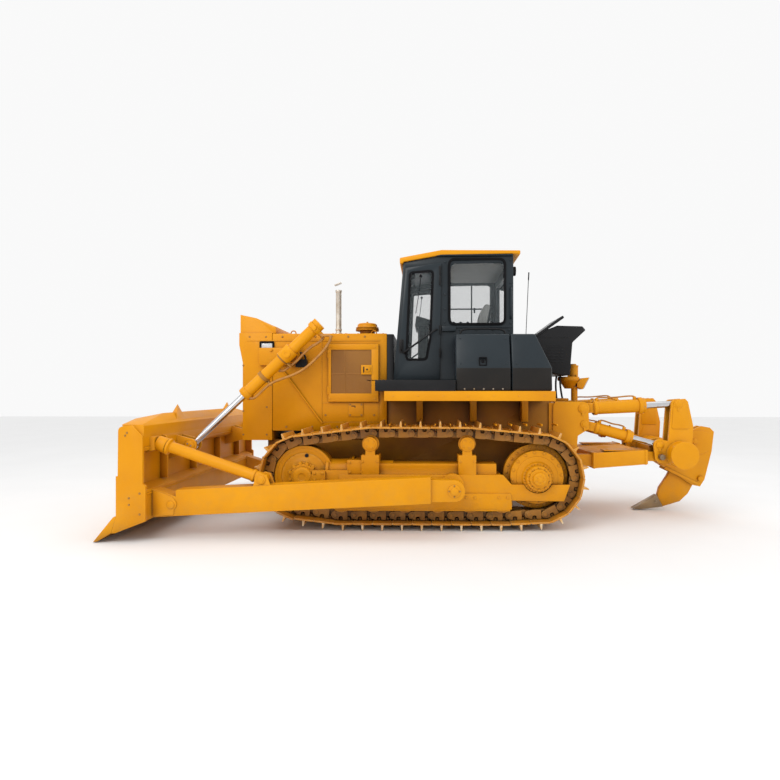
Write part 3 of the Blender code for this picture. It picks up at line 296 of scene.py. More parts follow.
def mixed(tree, factor, first, second, blend="MIX"):
    node = tree.nodes.new("ShaderNodeMix")
    node.data_type = "RGBA"
    node.blend_type = blend
    for socket, value in ((node.inputs[0], factor), (node.inputs[6], first), (node.inputs[7], second)):
        if isinstance(value, bpy.types.NodeSocket):
            tree.links.new(value, socket)
        elif isinstance(value, float):
            socket.default_value = value
        else:
            socket.default_value = (*value, 1)
    return node.outputs[2]


def multiplied(tree, first, second, operation="MULTIPLY"):
    node = addNode(tree, "Math", operation=operation)
    for socket, value in zip(node.inputs, (first, second)):
        if isinstance(value, bpy.types.NodeSocket):
            tree.links.new(value, socket)
        else:
            socket.default_value = value
    return node.outputs[0]


def paint(name, look):
    made, tree, shader, links = newMaterial(name)
    coords = addNode(tree, "TexCoord").outputs["Object"]
    tone = ranged(tree, noiseOf(tree, coords, look["toneScale"], 5), 0.35, 0.68)
    colour = mixed(tree, tone, look["colour"], look["second"])
    height = addNode(tree, "SeparateXYZ")
    links.new(coords, height.inputs[0])
    low = ranged(tree, height.outputs["Z"], look["dustTop"], 0.05)
    speck = ranged(tree, noiseOf(tree, coords, 7.0, 8, 0.65), 0.42, 0.72)
    dusty = multiplied(tree, multiplied(tree, low, speck), look["dust"])
    colour = mixed(tree, dusty, colour, look["dustColour"])
    # lighter edges found by a bevel mask: on painted surfaces a painted highlight, on steel and on the track's
    # shoes, links and grousers rubbed wear
    if look.get("edge"):
        corner = addNode(tree, "Bevel", samples=4)
        corner.inputs["Radius"].default_value = 0.010
        surface = addNode(tree, "NewGeometry")
        match = addNode(tree, "VectorMath", operation="DOT_PRODUCT")
        links.new(corner.outputs[0], match.inputs[0])
        links.new(surface.outputs["Normal"], match.inputs[1])
        rim = ranged(tree, match.outputs["Value"], 0.99, 0.86)
        broken = ranged(tree, noiseOf(tree, coords, 26.0, 6, 0.7), 0.38, 0.62)
        colour = mixed(
            tree, multiplied(tree, multiplied(tree, rim, broken), look["edge"]), colour, look["edgeColour"]
        )
    # painted shade: an ambient-occlusion mask darkens crevices, recesses and the gaps between parts towards a
    # dark colour
    if look.get("paintedShade"):
        shade = addNode(tree, "AmbientOcclusion", samples=6)
        shade.inputs["Distance"].default_value = look.get("reach", 0.12)
        deep = ranged(tree, shade.outputs["AO"], 0.75, 0.15)
        colour = mixed(tree, multiplied(tree, deep, look["paintedShade"]), colour, look["paintedShadeColour"])
    links.new(colour, shader.inputs["Base Color"])
    shine = multiplied(tree, noiseOf(tree, coords, 3.1, 6, 0.6), dusty, "ADD")
    links.new(
        ranged(tree, shine, 0.3, 0.95, look["rough"][0], look["rough"][1]), shader.inputs["Roughness"]
    )
    peel = addNode(tree, "Bump")
    peel.inputs["Strength"].default_value = look["peel"]
    peel.inputs["Distance"].default_value = 0.002
    links.new(noiseOf(tree, coords, look.get("peelScale", 130.0), 2), peel.inputs["Height"])
    links.new(peel.outputs[0], shader.inputs["Normal"])
    shader.inputs["Metallic"].default_value = look.get("metallic", 0.0)
    shader.inputs["Coat Weight"].default_value = look.get("coat", 0.0)
    shader.inputs["Coat Roughness"].default_value = 0.12
    shader.inputs["Specular IOR Level"].default_value = look.get("sheen", 0.38)
    made.diffuse_color = (*look["colour"], 1)
    return made


# In these looks the amounts and colours mixed in by the ambient-occlusion mask are painted shade in hollows;
# the edge colours are a painted highlight on painted surfaces and rubbed wear on steel and on the track's
# shoes, links and grousers
yellowLook = {
    "colour": (0.78, 0.325, 0.0), "second": (0.68, 0.262, 0.0), "toneScale": 1.3,
    "dustTop": 0.9, "dust": 0.25, "dustColour": (0.33, 0.20, 0.09),
    "edge": 0.30, "edgeColour": (0.93, 0.56, 0.12),
    "paintedShade": 0.86, "paintedShadeColour": (0.145, 0.052, 0.004), "reach": 0.42, "sheen": 0.22,
    "rough": (0.40, 0.60), "peel": 0.10, "coat": 0.03,
}
slateLook = {
    "colour": (0.017, 0.025, 0.031), "second": (0.012, 0.018, 0.023), "toneScale": 1.6,
    "dustTop": 1.9, "dust": 0.10, "dustColour": (0.16, 0.14, 0.11),
    "edge": 0.22, "edgeColour": (0.11, 0.13, 0.14),
    "paintedShade": 0.55, "paintedShadeColour": (0.012, 0.013, 0.014),
    "rough": (0.30, 0.46), "peel": 0.10, "coat": 0.06, "sheen": 0.26,
}
blackLook = {
    "colour": (0.007, 0.007, 0.008), "second": (0.011, 0.011, 0.012), "toneScale": 2.4,
    "dustTop": 2.2, "dust": 0.10, "sheen": 0.22, "dustColour": (0.10, 0.085, 0.065),
    "edge": 0.2, "edgeColour": (0.10, 0.10, 0.10),
    "rough": (0.38, 0.62), "peel": 0.22, "peelScale": 220.0,
}
wornLook = {
    "colour": (0.34, 0.24, 0.13), "second": (0.20, 0.15, 0.10), "toneScale": 5.0,
    "dustTop": 0.6, "dust": 0.5, "dustColour": (0.26, 0.17, 0.09),
    "edge": 0.8, "edgeColour": (0.62, 0.58, 0.52),
    "rough": (0.30, 0.58), "peel": 0.5, "peelScale": 60.0, "metallic": 0.65,
}
rubberLook = {
    "colour": (0.003, 0.003, 0.004), "second": (0.005, 0.005, 0.006), "toneScale": 6.0,
    "dustTop": 1.0, "dust": 0.05, "sheen": 0.12, "dustColour": (0.10, 0.09, 0.07),
    "rough": (0.55, 0.75), "peel": 0.3, "peelScale": 300.0,
}
chromeLook = {
    "colour": (0.62, 0.62, 0.63), "second": (0.54, 0.54, 0.56), "toneScale": 9.0,
    "dustTop": 0.8, "dust": 0.1, "dustColour": (0.25, 0.19, 0.12),
    "rough": (0.06, 0.20), "peel": 0.05, "peelScale": 500.0, "metallic": 1.0,
}
vinylLook = {
    "colour": (0.42, 0.42, 0.40), "second": (0.36, 0.36, 0.345), "toneScale": 8.0,
    "dustTop": 0.2, "dust": 0.0, "dustColour": (0.1, 0.1, 0.1),
    "rough": (0.42, 0.60), "peel": 0.6, "peelScale": 420.0,
}
# track links: dirty dark brown paint, darkened further in hollows by painted shade
linkLook = {
    "colour": (0.34, 0.150, 0.022), "second": (0.44, 0.190, 0.016), "toneScale": 6.0,
    "dustTop": 1.3, "dust": 0.6, "dustColour": (0.17, 0.085, 0.032),
    "edge": 0.5, "edgeColour": (0.50, 0.30, 0.12),
    "paintedShade": 0.95, "paintedShadeColour": (0.010, 0.006, 0.004),
    "rough": (0.40, 0.66), "peel": 0.4, "peelScale": 70.0,
}
shoeLook = {
    "colour": (0.66, 0.27, 0.010), "second": (0.50, 0.19, 0.008), "toneScale": 5.0,
    "dustTop": 1.2, "dust": 0.55, "dustColour": (0.30, 0.16, 0.06),
    "edge": 0.9, "edgeColour": (0.86, 0.60, 0.26),
    "paintedShade": 0.8, "paintedShadeColour": (0.06, 0.028, 0.010),
    "rough": (0.32, 0.56), "peel": 0.3, "peelScale": 70.0,
}
barLook = {
    "colour": (0.70, 0.34, 0.05), "second": (0.58, 0.25, 0.02), "toneScale": 9.0,
    "dustTop": 0.42, "dust": 1.6, "dustColour": (0.80, 0.68, 0.46),
    "edge": 0.8, "edgeColour": (0.90, 0.84, 0.72),
    "rough": (0.34, 0.52), "peel": 0.3, "peelScale": 80.0, "metallic": 0.15,
}
# door screens: an amber darker than the body paint, painted shade of the engine bay seen through the mesh
meshLook = {
    "colour": (0.40, 0.17, 0.022), "second": (0.33, 0.135, 0.020), "toneScale": 2.2,
    "dustTop": 2.6, "dust": 0.35, "dustColour": (0.28, 0.15, 0.06),
    "paintedShade": 0.5, "paintedShadeColour": (0.05, 0.02, 0.008),
    "rough": (0.42, 0.60), "peel": 0.2,
}
lineLook = {
    "colour": (0.52, 0.235, 0.040), "second": (0.36, 0.150, 0.030), "toneScale": 12.0,
    "dustTop": 1.0, "dust": 0.2, "dustColour": (0.3, 0.2, 0.1),
    "edge": 0.4, "edgeColour": (0.85, 0.62, 0.30),
    "rough": (0.30, 0.48), "peel": 0.15,
}
lampLook = {
    "colour": (0.62, 0.66, 0.68), "second": (0.78, 0.80, 0.80), "toneScale": 24.0,
    "dustTop": 0.1, "dust": 0.1, "dustColour": (0.5, 0.5, 0.5),
    "rough": (0.05, 0.15), "peel": 0.6, "peelScale": 160.0, "coat": 0.6, "metallic": 0.3,
}
pipeLook = {
    "colour": (0.66, 0.62, 0.55), "second": (0.48, 0.42, 0.34), "toneScale": 7.0,
    "dustTop": 2.5, "dust": 0.25, "dustColour": (0.40, 0.30, 0.18),
    "edge": 0.3, "edgeColour": (0.85, 0.82, 0.78),
    "rough": (0.28, 0.46), "peel": 0.2, "metallic": 0.6,
}
# hull paint: an amber darker than the body's, partly dirt and partly painted shade for the hull's recess
# behind the tracks, and darker towards the bottom
hullDirtAndShadeLook = {
    "colour": (0.36, 0.145, 0.006), "second": (0.24, 0.092, 0.008), "toneScale": 2.0,
    "dustTop": 1.1, "dust": 0.8, "dustColour": (0.085, 0.042, 0.016),
    "edge": 0.4, "edgeColour": (0.62, 0.30, 0.04),
    "paintedShade": 0.92, "paintedShadeColour": (0.022, 0.010, 0.004), "reach": 0.30, "sheen": 0.2,
    "rough": (0.45, 0.68), "peel": 0.3, "peelScale": 60.0,
}
# near-black paint for bands over the lower faces of the side boxes and tank: painted shade where these faces
# turn away from the light
shadebandLook = {
    "colour": (0.008, 0.007, 0.006), "second": (0.012, 0.009, 0.007), "toneScale": 1.8,
    "dustTop": 2.0, "dust": 0.25, "sheen": 0.22, "dustColour": (0.085, 0.058, 0.032),
    "edge": 0.2, "edgeColour": (0.10, 0.09, 0.08),
    "rough": (0.30, 0.50), "peel": 0.12, "coat": 0.1,
}
linerLook = {
    "colour": (0.30, 0.30, 0.29), "second": (0.36, 0.36, 0.35), "toneScale": 3.0,
    "dustTop": 0.1, "dust": 0.05, "dustColour": (0.3, 0.3, 0.3),
    "rough": (0.55, 0.75), "peel": 0.5, "peelScale": 260.0,
}
yellow = paint("amber_paint", yellowLook)
linkPaint = paint("link_dirt_and_shade", linkLook)
shoePaint = paint("shoe_paint", shoeLook)
barSteel = paint("grouser_wear", barLook)
meshPaint = paint("screen_mesh", meshLook)
linePaint = paint("line_paint", lineLook)
lampGlass = paint("lamp_lens", lampLook)
pipeSteel = paint("exhaust_steel", pipeLook)
liner = paint("cab_liner", linerLook)
shadebandPaint = paint("shadeband_paint", shadebandLook)
hullDirtAndShadeAmber = paint("hull_dirt_and_shade_amber_paint", hullDirtAndShadeLook)
slate = paint("slate_paint", slateLook)
black = paint("black_paint", blackLook)
worn = paint("worn_steel", wornLook)
rubber = paint("window_rubber", rubberLook)
chrome = paint("rod_chrome", chromeLook)
vinyl = paint("seat_vinyl", vinylLook)


def glassMaterial(name, tint, alpha):
    made, tree, shader, links = newMaterial(name)
    coords = addNode(tree, "TexCoord").outputs["Object"]
    smear = ranged(tree, noiseOf(tree, coords, 4.0, 6, 0.7), 0.45, 0.75)
    links.new(
        mixed(tree, smear, tint, tuple(min(1.0, c * 1.15 + 0.02) for c in tint)),
        shader.inputs["Base Color"]
    )
    links.new(ranged(tree, smear, 0, 1, 0.02, 0.09), shader.inputs["Roughness"])
    shader.inputs["IOR"].default_value = 1.5
    shader.inputs["Alpha"].default_value = alpha
    shader.inputs["Specular IOR Level"].default_value = 0.6
    made.diffuse_color = (*tint, alpha)
    return made


glass = glassMaterial("cab_glass", (0.16, 0.19, 0.20), 0.13)
materialOf = {"yellow_paint": yellow, "slate_paint": slate, "black_paint": black, "steel": worn,
              "chrome": chrome, "seat_vinyl": vinyl, "glass": glass}
print("stage: materials ready")

# every CAD piece keeps its shape and gets rounded edges

slotOf = {part["node"]: part["material_slot"] for part in frame["record"]["subparts"]}
replacedLater = {"track_left", "track_right", "seat", "exhaust_pipe"}
edgeWidths = {"blade": 0.008, "cab_roof": 0.012, "hood": 0.010, "radiator_guard": 0.008, "fuel_tank": 0.018,
              "side_box_left": 0.018, "side_box_right": 0.018, "cab_shell": 0.010, "platform": 0.006,
              "cab_door_left": 0.006, "cab_door_right": 0.006, "ripper_shank": 0.008, "ripper_point": 0.004,
              "push_arm_left": 0.010, "push_arm_right": 0.010, "rear_housing": 0.010, "hull": 0.008,
              "cutting_edge": 0.004, "engine_door_left": 0.006, "engine_door_right": 0.006}
plainPanes = {node for node in slotOf if slotOf[node] == "glass"}


def roundedCopy(node):
    source = cadNodes[node]
    piece = source.copy()
    piece.data = source.data.copy()
    piece.name = node + "_body"
    piece.parent = None
    bpy.context.scene.collection.objects.link(piece)
    piece.matrix_world = Matrix.Identity(4)
    pick(piece)
    bpy.ops.object.mode_set(mode="EDIT")
    bpy.ops.mesh.select_all(action="SELECT")
    bpy.ops.mesh.remove_doubles(threshold=0.00003)
    bpy.ops.mesh.dissolve_limited(angle_limit=math.radians(0.6))
    bpy.ops.mesh.select_all(action="SELECT")
    bpy.ops.mesh.normals_make_consistent(inside=False)
    bpy.ops.object.mode_set(mode="OBJECT")
    roundEdges(piece, edgeWidths.get(node, 0.004))
    # the hull takes the darker amber, which paints the shade of its recess
    finished(piece, bodyOf[node], hullDirtAndShadeAmber if node == "hull" else materialOf[slotOf[node]])
    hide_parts(node)
    return piece


for node in sorted(cadNodes):
    cadNodes[node].data.materials.clear()
    cadNodes[node].data.materials.append(materialOf[slotOf[node]])
    if node not in plainPanes and node not in replacedLater:
        roundedCopy(node)
print("stage: CAD nodes rounded")

# running gear: single-bar shoes, links with pins, and what the chain runs on
runningGear = {
    "shoes": 38, "firstBar": 0.06, "barHeight": 0.062, "plateDepth": 0.024,
    "idlerRadius": 0.49, "sprocketRadius": 0.515, "carrierRadius": 0.205, "rollerRadius": 0.235,
    "carrierZ": 0.985, "bottomZ": 0.297, "rollerCount": 6, "chainDepth": 0.135,
}
gear = runningGear
rollerXs = [
    idlerX + 0.45 + (driveX - 0.40 - idlerX - 0.45) * i / (gear["rollerCount"] - 1)
    for i in range(gear["rollerCount"])
]
carrierXs = [idlerX + 0.79, driveX - 0.813]
wheelCircles = [
    (rollerXs[0], gear["bottomZ"], gear["rollerRadius"]), (
        rollerXs[-1], gear["bottomZ"], gear["rollerRadius"]
    ),
    (driveX, axleZ, gear["sprocketRadius"]), (carrierXs[1], gear["carrierZ"], gear["carrierRadius"]),
    (carrierXs[0], gear["carrierZ"], gear["carrierRadius"]), (idlerX, axleZ + 0.005, gear["idlerRadius"]),
]


def beltPath(circles, step=3.0):
    normals = []
    for (x0, z0, r0), (x1, z1, r1) in zip(circles, circles[1:] + circles[:1]):
        turn = math.asin((r1 - r0) / math.hypot(x1 - x0, z1 - z0))
        normals.append(math.atan2(z1 - z0, x1 - x0) - math.pi / 2 - turn)
    points = []
    for i, (x, z, r) in enumerate(circles):
        start = normals[i - 1]
        sweep = (normals[i] - start) % (2 * math.pi)
        steps = max(1, math.ceil(math.degrees(sweep) / step))
        points += arc((x, z), r, math.degrees(start), math.degrees(start + sweep), steps)
    return points


def chainFrames(count, first):
    path = beltPath(wheelCircles)
    legs = list(zip(path, path[1:] + path[:1]))
    total = sum(math.dist(a, b) for a, b in legs)
    frames = []
    for i in range(count):
        left = (first + i * total / count) % total
        for (x0, z0), (x1, z1) in legs:
            length = math.dist((x0, z0), (x1, z1))
            if left <= length:
                dx, dz = (x1 - x0) / length, (z1 - z0) / length
                frames.append(((x0 + dx * left, z0 + dz * left), (dx, dz)))
                break
            left -= length
    return frames, total / count


def chainPlaces(frames, y):
    places = []
    for (x, z), (dx, dz) in frames:
        nx, nz = dz, -dx  # outward, as the path runs anticlockwise
        place = Matrix(((nz, 0, nx, x), (0, 1, 0, y), (-nx, 0, nz, z), (0, 0, 0, 1)))
        places.append(place)
    return places


shoeFrames, shoePitch = chainFrames(gear["shoes"], gear["firstBar"])
linkFrames = chainFrames(gear["shoes"], gear["firstBar"])[0]
halfPitch = shoePitch / 2


def shoeModel():
    reach, deep = halfPitch - 0.002, gear["plateDepth"]
    outline = [
        (-reach, -deep + 0.004), (reach - 0.012, -deep + 0.002), (reach, -deep - 0.004),
        (reach + 0.004, -0.010)
    ]
    outline += [
        (reach - 0.014, -0.001), (0.016, 0.0), (-0.016, 0.0), (-reach + 0.01, -0.001), (-reach, -0.008)
    ]
    pieces = [plate("shoe", outline, -shoeHalf + 0.001, shoeHalf - 0.001, "Y", 0.003, 1)]
    for x in (-0.055, 0.055):
        for y in (-0.075, 0.075):
            pieces.append(turned("shoe_bolt", (x, y, -0.003), (x, y, 1), [(0, 0.015), (0.013, 0.013)], 6))
    return joined("shoe", pieces)


def barModel():
    tall = gear["barHeight"]
    outline = [
        (-0.014, -0.003), (0.015, -0.003), (0.0095, tall - 0.004), (0.006, tall - 0.0005),
        (-0.003, tall - 0.001), (-0.0065, tall - 0.006)
    ]
    return plate("bar", outline, -shoeHalf + 0.0015, shoeHalf - 0.0015, "Y", 0.002, 1)


def linkModel():
    pinX, pinZ, deep = halfPitch, -0.084, -gear["chainDepth"] + 0.001
    front = [(-0.034, deep), (pinX - 0.030, deep)] + arc((pinX, pinZ), 0.046, -115, 75, 7)
    front += [
        (0.078, -0.025), (0.071, -0.028), (0.069, -0.060), (0.060, -0.066), (0.034, -0.066), (0.025, -0.060)
    ]
    front += [(0.023, -0.025), (-0.034, -0.025)]
    back = [(-x, z) for x, z in reversed(front)]
    pieces = []
    for side in (-1, 1):
        pieces.append(plate("link", front, side * 0.099, side * 0.130, "Y", 0.003, 1))
        pieces.append(plate("link", back, side * 0.066, side * 0.0985, "Y", 0.003, 1))
        pieces.append(turned(
            "pin_end", (pinX, side * 0.12, pinZ), (pinX, side * 1.0, pinZ),
            [(0, 0.033), (0.013, 0.033), (0.0131, 0.024), (0.019, 0.022)], 14
        ))
        for x in (-0.046, 0.046):
            pieces.append(turned(
                "nut", (x, side * 0.098, -0.024), (x, side * 0.098, -1), [(0, 0.019), (0.028, 0.018)], 6
            ))
    pieces.append(bar("bush", (pinX, -0.066, pinZ), (pinX, 0.066, pinZ), 0.034, 12, 0))
    return joined("link", pieces)


for side, label in sides:
    plates = finished(
        copies(shoeModel(), "track_shoes_" + label, chainPlaces(shoeFrames, side * trackY)),
        bodyOf["track_" + label], shoePaint
    )
    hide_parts("track_" + label)
    finished(
        copies(barModel(), "track_bars_" + label, chainPlaces(shoeFrames, side * trackY)),
        bodyOf["track_" + label], barSteel
    )
    finished(
        copies(linkModel(), "track_links_" + label, chainPlaces(linkFrames, side * trackY)),
        bodyOf["track_" + label], linkPaint
    )
print("stage: tracks made")

wheels = {"idlerRim": 0.352, "idlerHub": 0.165, "crownLugs": 12, "toothBolts": 25, "hubBolts": 16}


def outward(side, x, z, y):
    return (x, side * y, z), (x, side * 5.0, z)


for side, label in sides:
    y, z = trackY, axleZ + 0.005
    # idler: a coned face between the rim and the hub, and a crown of bolts
    rim = wheels["idlerRim"]
    profile = [
        (0, rim), (0.010, rim), (0.012, rim - 0.006), (0.012, rim - 0.030), (-0.004, rim - 0.040),
        (0.004, rim - 0.12), (0.030, 0.17), (0.048, 0.15)
    ]
    cone = turned("cone", *outward(side, idlerX, z, y + 0.092), profile, 48)
    crown = turned(
        "crown", *outward(side, idlerX, z, y + 0.128),
        [(0, 0.165), (0.022, 0.165), (0.024, 0.150), (0.050, 0.142), (0.052, 0.120)], 32, 0.003
    )
    cap = turned(
        "cap", *outward(side, idlerX, z, y + 0.20),
        [(0, 0.112), (0.028, 0.110), (0.040, 0.095), (0.041, 0.045), (0.034, 0.040), (0.033, 0.020)], 28,
        0.002
    )
    finished(joined("idler_face_" + label, [cone, crown, cap]), bodyOf["idler_" + label], yellow)
    spots = ringOf((idlerX, side * (y + 0.150), z), 0.153, wheels["crownLugs"], side, 0.2)
    lugs = bolts("idler_bolts_" + label, spots, (0, side, 0), 0.024, 0.030)
    more = bolts(
        "more", ringOf((idlerX, side * (y + 0.231), z), 0.082, 6, side, 0.3), (0, side, 0), 0.011, 0.010
    )
    finished(joined("idler_bolts_" + label, [lugs, more]), bodyOf["idler_" + label], yellow)
    hole = turned(
        "idler_plug_" + label, *outward(side, idlerX + 0.03, z + 0.235, y + 0.09),
        [(0, 0.022), (0.016, 0.022), (0.017, 0.014), (0.012, 0.013)], 16
    )
    finished(hole, bodyOf["idler_" + label], black)
    # yoke block and recoil housing behind the idler
    plateLow, plateHigh = side * (y + 0.19), side * (y + 0.228)
    yoke = plate(
        "yoke",
        [(idlerX + 0.10, 0.552), (idlerX + 0.27, 0.552), (idlerX + 0.27, 0.672), (idlerX + 0.12, 0.672)],
        plateLow, plateHigh
    )
    shell = turned(
        "shell", (idlerX + 0.26, side * y, 0.665), (idlerX + 5, side * y, 0.665),
        [(0, 0.155), (0.035, 0.155), (0.037, 0.130), (0.30, 0.130), (0.302, 0.16), (0.33, 0.16)], 28, 0.003
    )
    housing = block(
        "housing", (idlerX + 0.52, min(side * (y - 0.13), side * (y + 0.188)), 0.63),
        (idlerX + 0.72, max(side * (y - 0.13), side * (y + 0.188)), 0.80), 0.010
    )
    finished(joined("recoil_housing_" + label, [yoke, shell, housing]), "machine", yellow)
    spots = [(idlerX + a, side * (y + 0.228), b) for a in (0.15, 0.24) for b in (0.575, 0.648)]
    spots += [(idlerX + 0.55 + 0.14 * i, side * (y + 0.188), b) for i in (0, 1) for b in (0.66, 0.77)]
    finished(bolts("recoil_bolts_" + label, spots, (0, side, 0), 0.013, 0.012), "machine", yellow)
    # carrier rollers with two flanges and a bolted cap
    for i, x in enumerate(carrierXs):
        profile = [
            (0, 0.074), (0.03, 0.074), (0.031, 0.101), (0.052, 0.101), (0.054, 0.086), (0.105, 0.084),
            (0.107, 0.066), (0.126, 0.062), (0.128, 0.030)
        ]
        wheel = turned("wheel", *outward(side, x, gear["carrierZ"], y + 0.085), profile, 28, 0.002)
        strap = plate(
            "strap", [(x - 0.062, 0.80), (x + 0.062, 0.80), (x + 0.052, 0.93), (x - 0.052, 0.93)],
            side * (y + 0.128), side * (y + 0.196), "Y", 0.008
        )
        foot = block(
            "foot", (x - 0.105, min(side * (y - 0.08), side * (y + 0.20)), 0.625),
            (x + 0.105, max(side * (y - 0.08), side * (y + 0.20)), 0.858), 0.010
        )
        lugs = bolts(
            "lugs", ringOf((x, side * (y + 0.212), gear["carrierZ"]), 0.046, 4, side, 0.5), (0, side, 0),
            0.008, 0.009
        )
        feet = bolts(
            "feet", [(x + a, side * (y + 0.20), 0.784) for a in (-0.085, 0.085)], (0, side, 0), 0.012, 0.011
        )
        finished(joined(f"carrier_{i}_{label}", [wheel, strap, foot, lugs, feet]), "machine", yellow)
    # bottom rollers' flanges, with the guard's scalloped lower edge and its bolts
    flanges = []
    for x in rollerXs:
        flanges.append(turned(
            "flange", *outward(side, x, gear["bottomZ"], y - 0.14),
            [(0, 0.118), (0.02, 0.118), (0.022, 0.099), (0.258, 0.099), (0.26, 0.118), (0.28, 0.118)], 28,
            0.002
        ))
        flanges.append(turned(
            "end", *outward(side, x, gear["bottomZ"], y + 0.14),
            [(0, 0.062), (0.035, 0.060), (0.037, 0.040), (0.045, 0.036)], 20, 0.002
        ))
    finished(joined("bottom_rollers_" + label, flanges), "machine", shoePaint)
    outline = [(rollerXs[0] - 0.08, 0.415)]
    for x in rollerXs:
        outline += [(x - 0.10, 0.238), (x - 0.05, 0.228), (x + 0.05, 0.228), (x + 0.10, 0.238)]
    outline += [(rollerXs[-1] + 0.09, 0.415)]
    guard = plate("roller_guard_" + label, outline, side * (y + 0.2005), side * (y + 0.2165), "Y", 0.004)
    finished(guard, "machine", yellow)
    spots = [(a + o, side * (y + 0.2165), 0.375) for a in rollerXs for o in (-0.05, 0.05)]
    finished(bolts("guard_bolts_" + label, spots, (0, side, 0), 0.014, 0.013), "machine", yellow)
    # final drive: tooth segments' bolts, a stepped hub and its bolts
    teeth = bolts(
        "teeth", ringOf((driveX, side * (y + 0.040), axleZ), 0.345, wheels["toothBolts"], side),
        (0, side, 0), 0.014, 0.012
    )
    rimBolts = bolts(
        "rim", ringOf((driveX, side * (y + 0.146), axleZ), 0.288, wheels["hubBolts"], side, 0.1),
        (0, side, 0), 0.013, 0.012
    )
    hub = turned(
        "hub", *outward(side, driveX, axleZ, y + 0.140),
        [
            (0, 0.245), (0.012, 0.240), (0.020, 0.185), (0.055, 0.170), (0.057, 0.150), (0.125, 0.141),
            (0.127, 0.112), (0.150, 0.108), (0.152, 0.080), (0.196, 0.076), (0.206, 0.062), (0.207, 0.030),
            (0.214, 0.026)
        ],
        36, 0.002
    )
    ring = bolts(
        "ring", ringOf((driveX, side * (y + 0.2), axleZ), 0.157, 14, side, 0.15), (0, side, 0), 0.012, 0.016
    )
    small = bolts(
        "small", ringOf((driveX, side * (y + 0.268), axleZ), 0.126, 10, side, 0.3), (0, side, 0), 0.012,
        0.016
    )
    tiny = bolts(
        "tiny", ringOf((driveX, side * (y + 0.346), axleZ), 0.048, 6, side, 0.5), (0, side, 0), 0.008, 0.009
    )
    finished(
        joined("drive_hub_" + label, [hub, teeth, rimBolts, ring, small, tiny]),
        bodyOf["final_drive_" + label], yellow
    )
print("stage: wheels and rollers made")

# outlines with rounded corners, and rings cut from them
def softened(outline, radius, steps=4):
    made = []
    for i, (x, z) in enumerate(outline):
        (ax, az), (bx, bz) = outline[i - 1], outline[(i + 1) % len(outline)]
        la, lb = math.dist((ax, az), (x, z)), math.dist((bx, bz), (x, z))
        back = min(radius, 0.45 * la, 0.45 * lb)
        for k in range(steps + 1):
            t = k / steps
            a, b = back * (1 - t) ** 2 / la, back * t**2 / lb
            made.append((x + (ax - x) * a + (bx - x) * b, z + (az - z) * a + (bz - z) * b))
    return made


def frameRing(name, outline, width, low, high, axis="Y", edge=0.002):
    clearSelection()
    bpy.ops.mesh.primitive_circle_add(vertices=len(outline), radius=1, fill_type="NGON")
    piece = bpy.context.object
    piece.name = name
    low, high = min(low, high), max(low, high)
    spots = {"X": lambda a, b: (low, a, b), "Y": lambda a, b: (a, low, b)}
    for vertex, (a, b) in zip(piece.data.vertices, outline):
        vertex.co = spots[axis](a, b)
    step = {"X": (high - low, 0, 0), "Y": (0, high - low, 0)}[axis]
    bpy.ops.object.mode_set(mode="EDIT")
    bpy.ops.mesh.select_all(action="SELECT")
    bpy.ops.mesh.inset(thickness=width)
    bpy.ops.mesh.delete(type="FACE")
    bpy.ops.mesh.select_all(action="SELECT")
    bpy.ops.mesh.extrude_region_move(TRANSFORM_OT_translate={"value": step})
    bpy.ops.mesh.select_all(action="SELECT")
    bpy.ops.mesh.normals_make_consistent(inside=False)
    bpy.ops.object.mode_set(mode="OBJECT")
    return roundEdges(piece, edge, 1)


def sideBlock(name, side, x0, x1, y0, y1, z0, z1, edge=0.004):
    return block(name, (x0, min(side * y0, side * y1), z0), (x1, max(side * y0, side * y1), z1), edge)


def done(name, pieces, body, material):
    return finished(joined(name, pieces), body, material)


# lift cylinders: bands, head, gland and the steel lines that run along each barrel
liftCylinder = {
    "eyeX": idlerX - 1.395, "eyeZ": 0.950, "slope": 43.5, "y": 0.95, "radius": 0.07,
    "gland": 0.875, "head": 2.135, "bands": (1.20, 1.52), "lineRadius": 0.0165,
}
lift = liftCylinder
liftAim = Vector((math.cos(math.radians(lift["slope"])), 0, math.sin(math.radians(lift["slope"]))))
liftDown = Vector((liftAim.z, 0, -liftAim.x))


def onLift(side, reach, off=0.0, across=0.0):
    base = Vector((lift["eyeX"], side * lift["y"], lift["eyeZ"]))
    return tuple(base + liftAim * reach + liftDown * off + Vector((0, side * across, 0)))


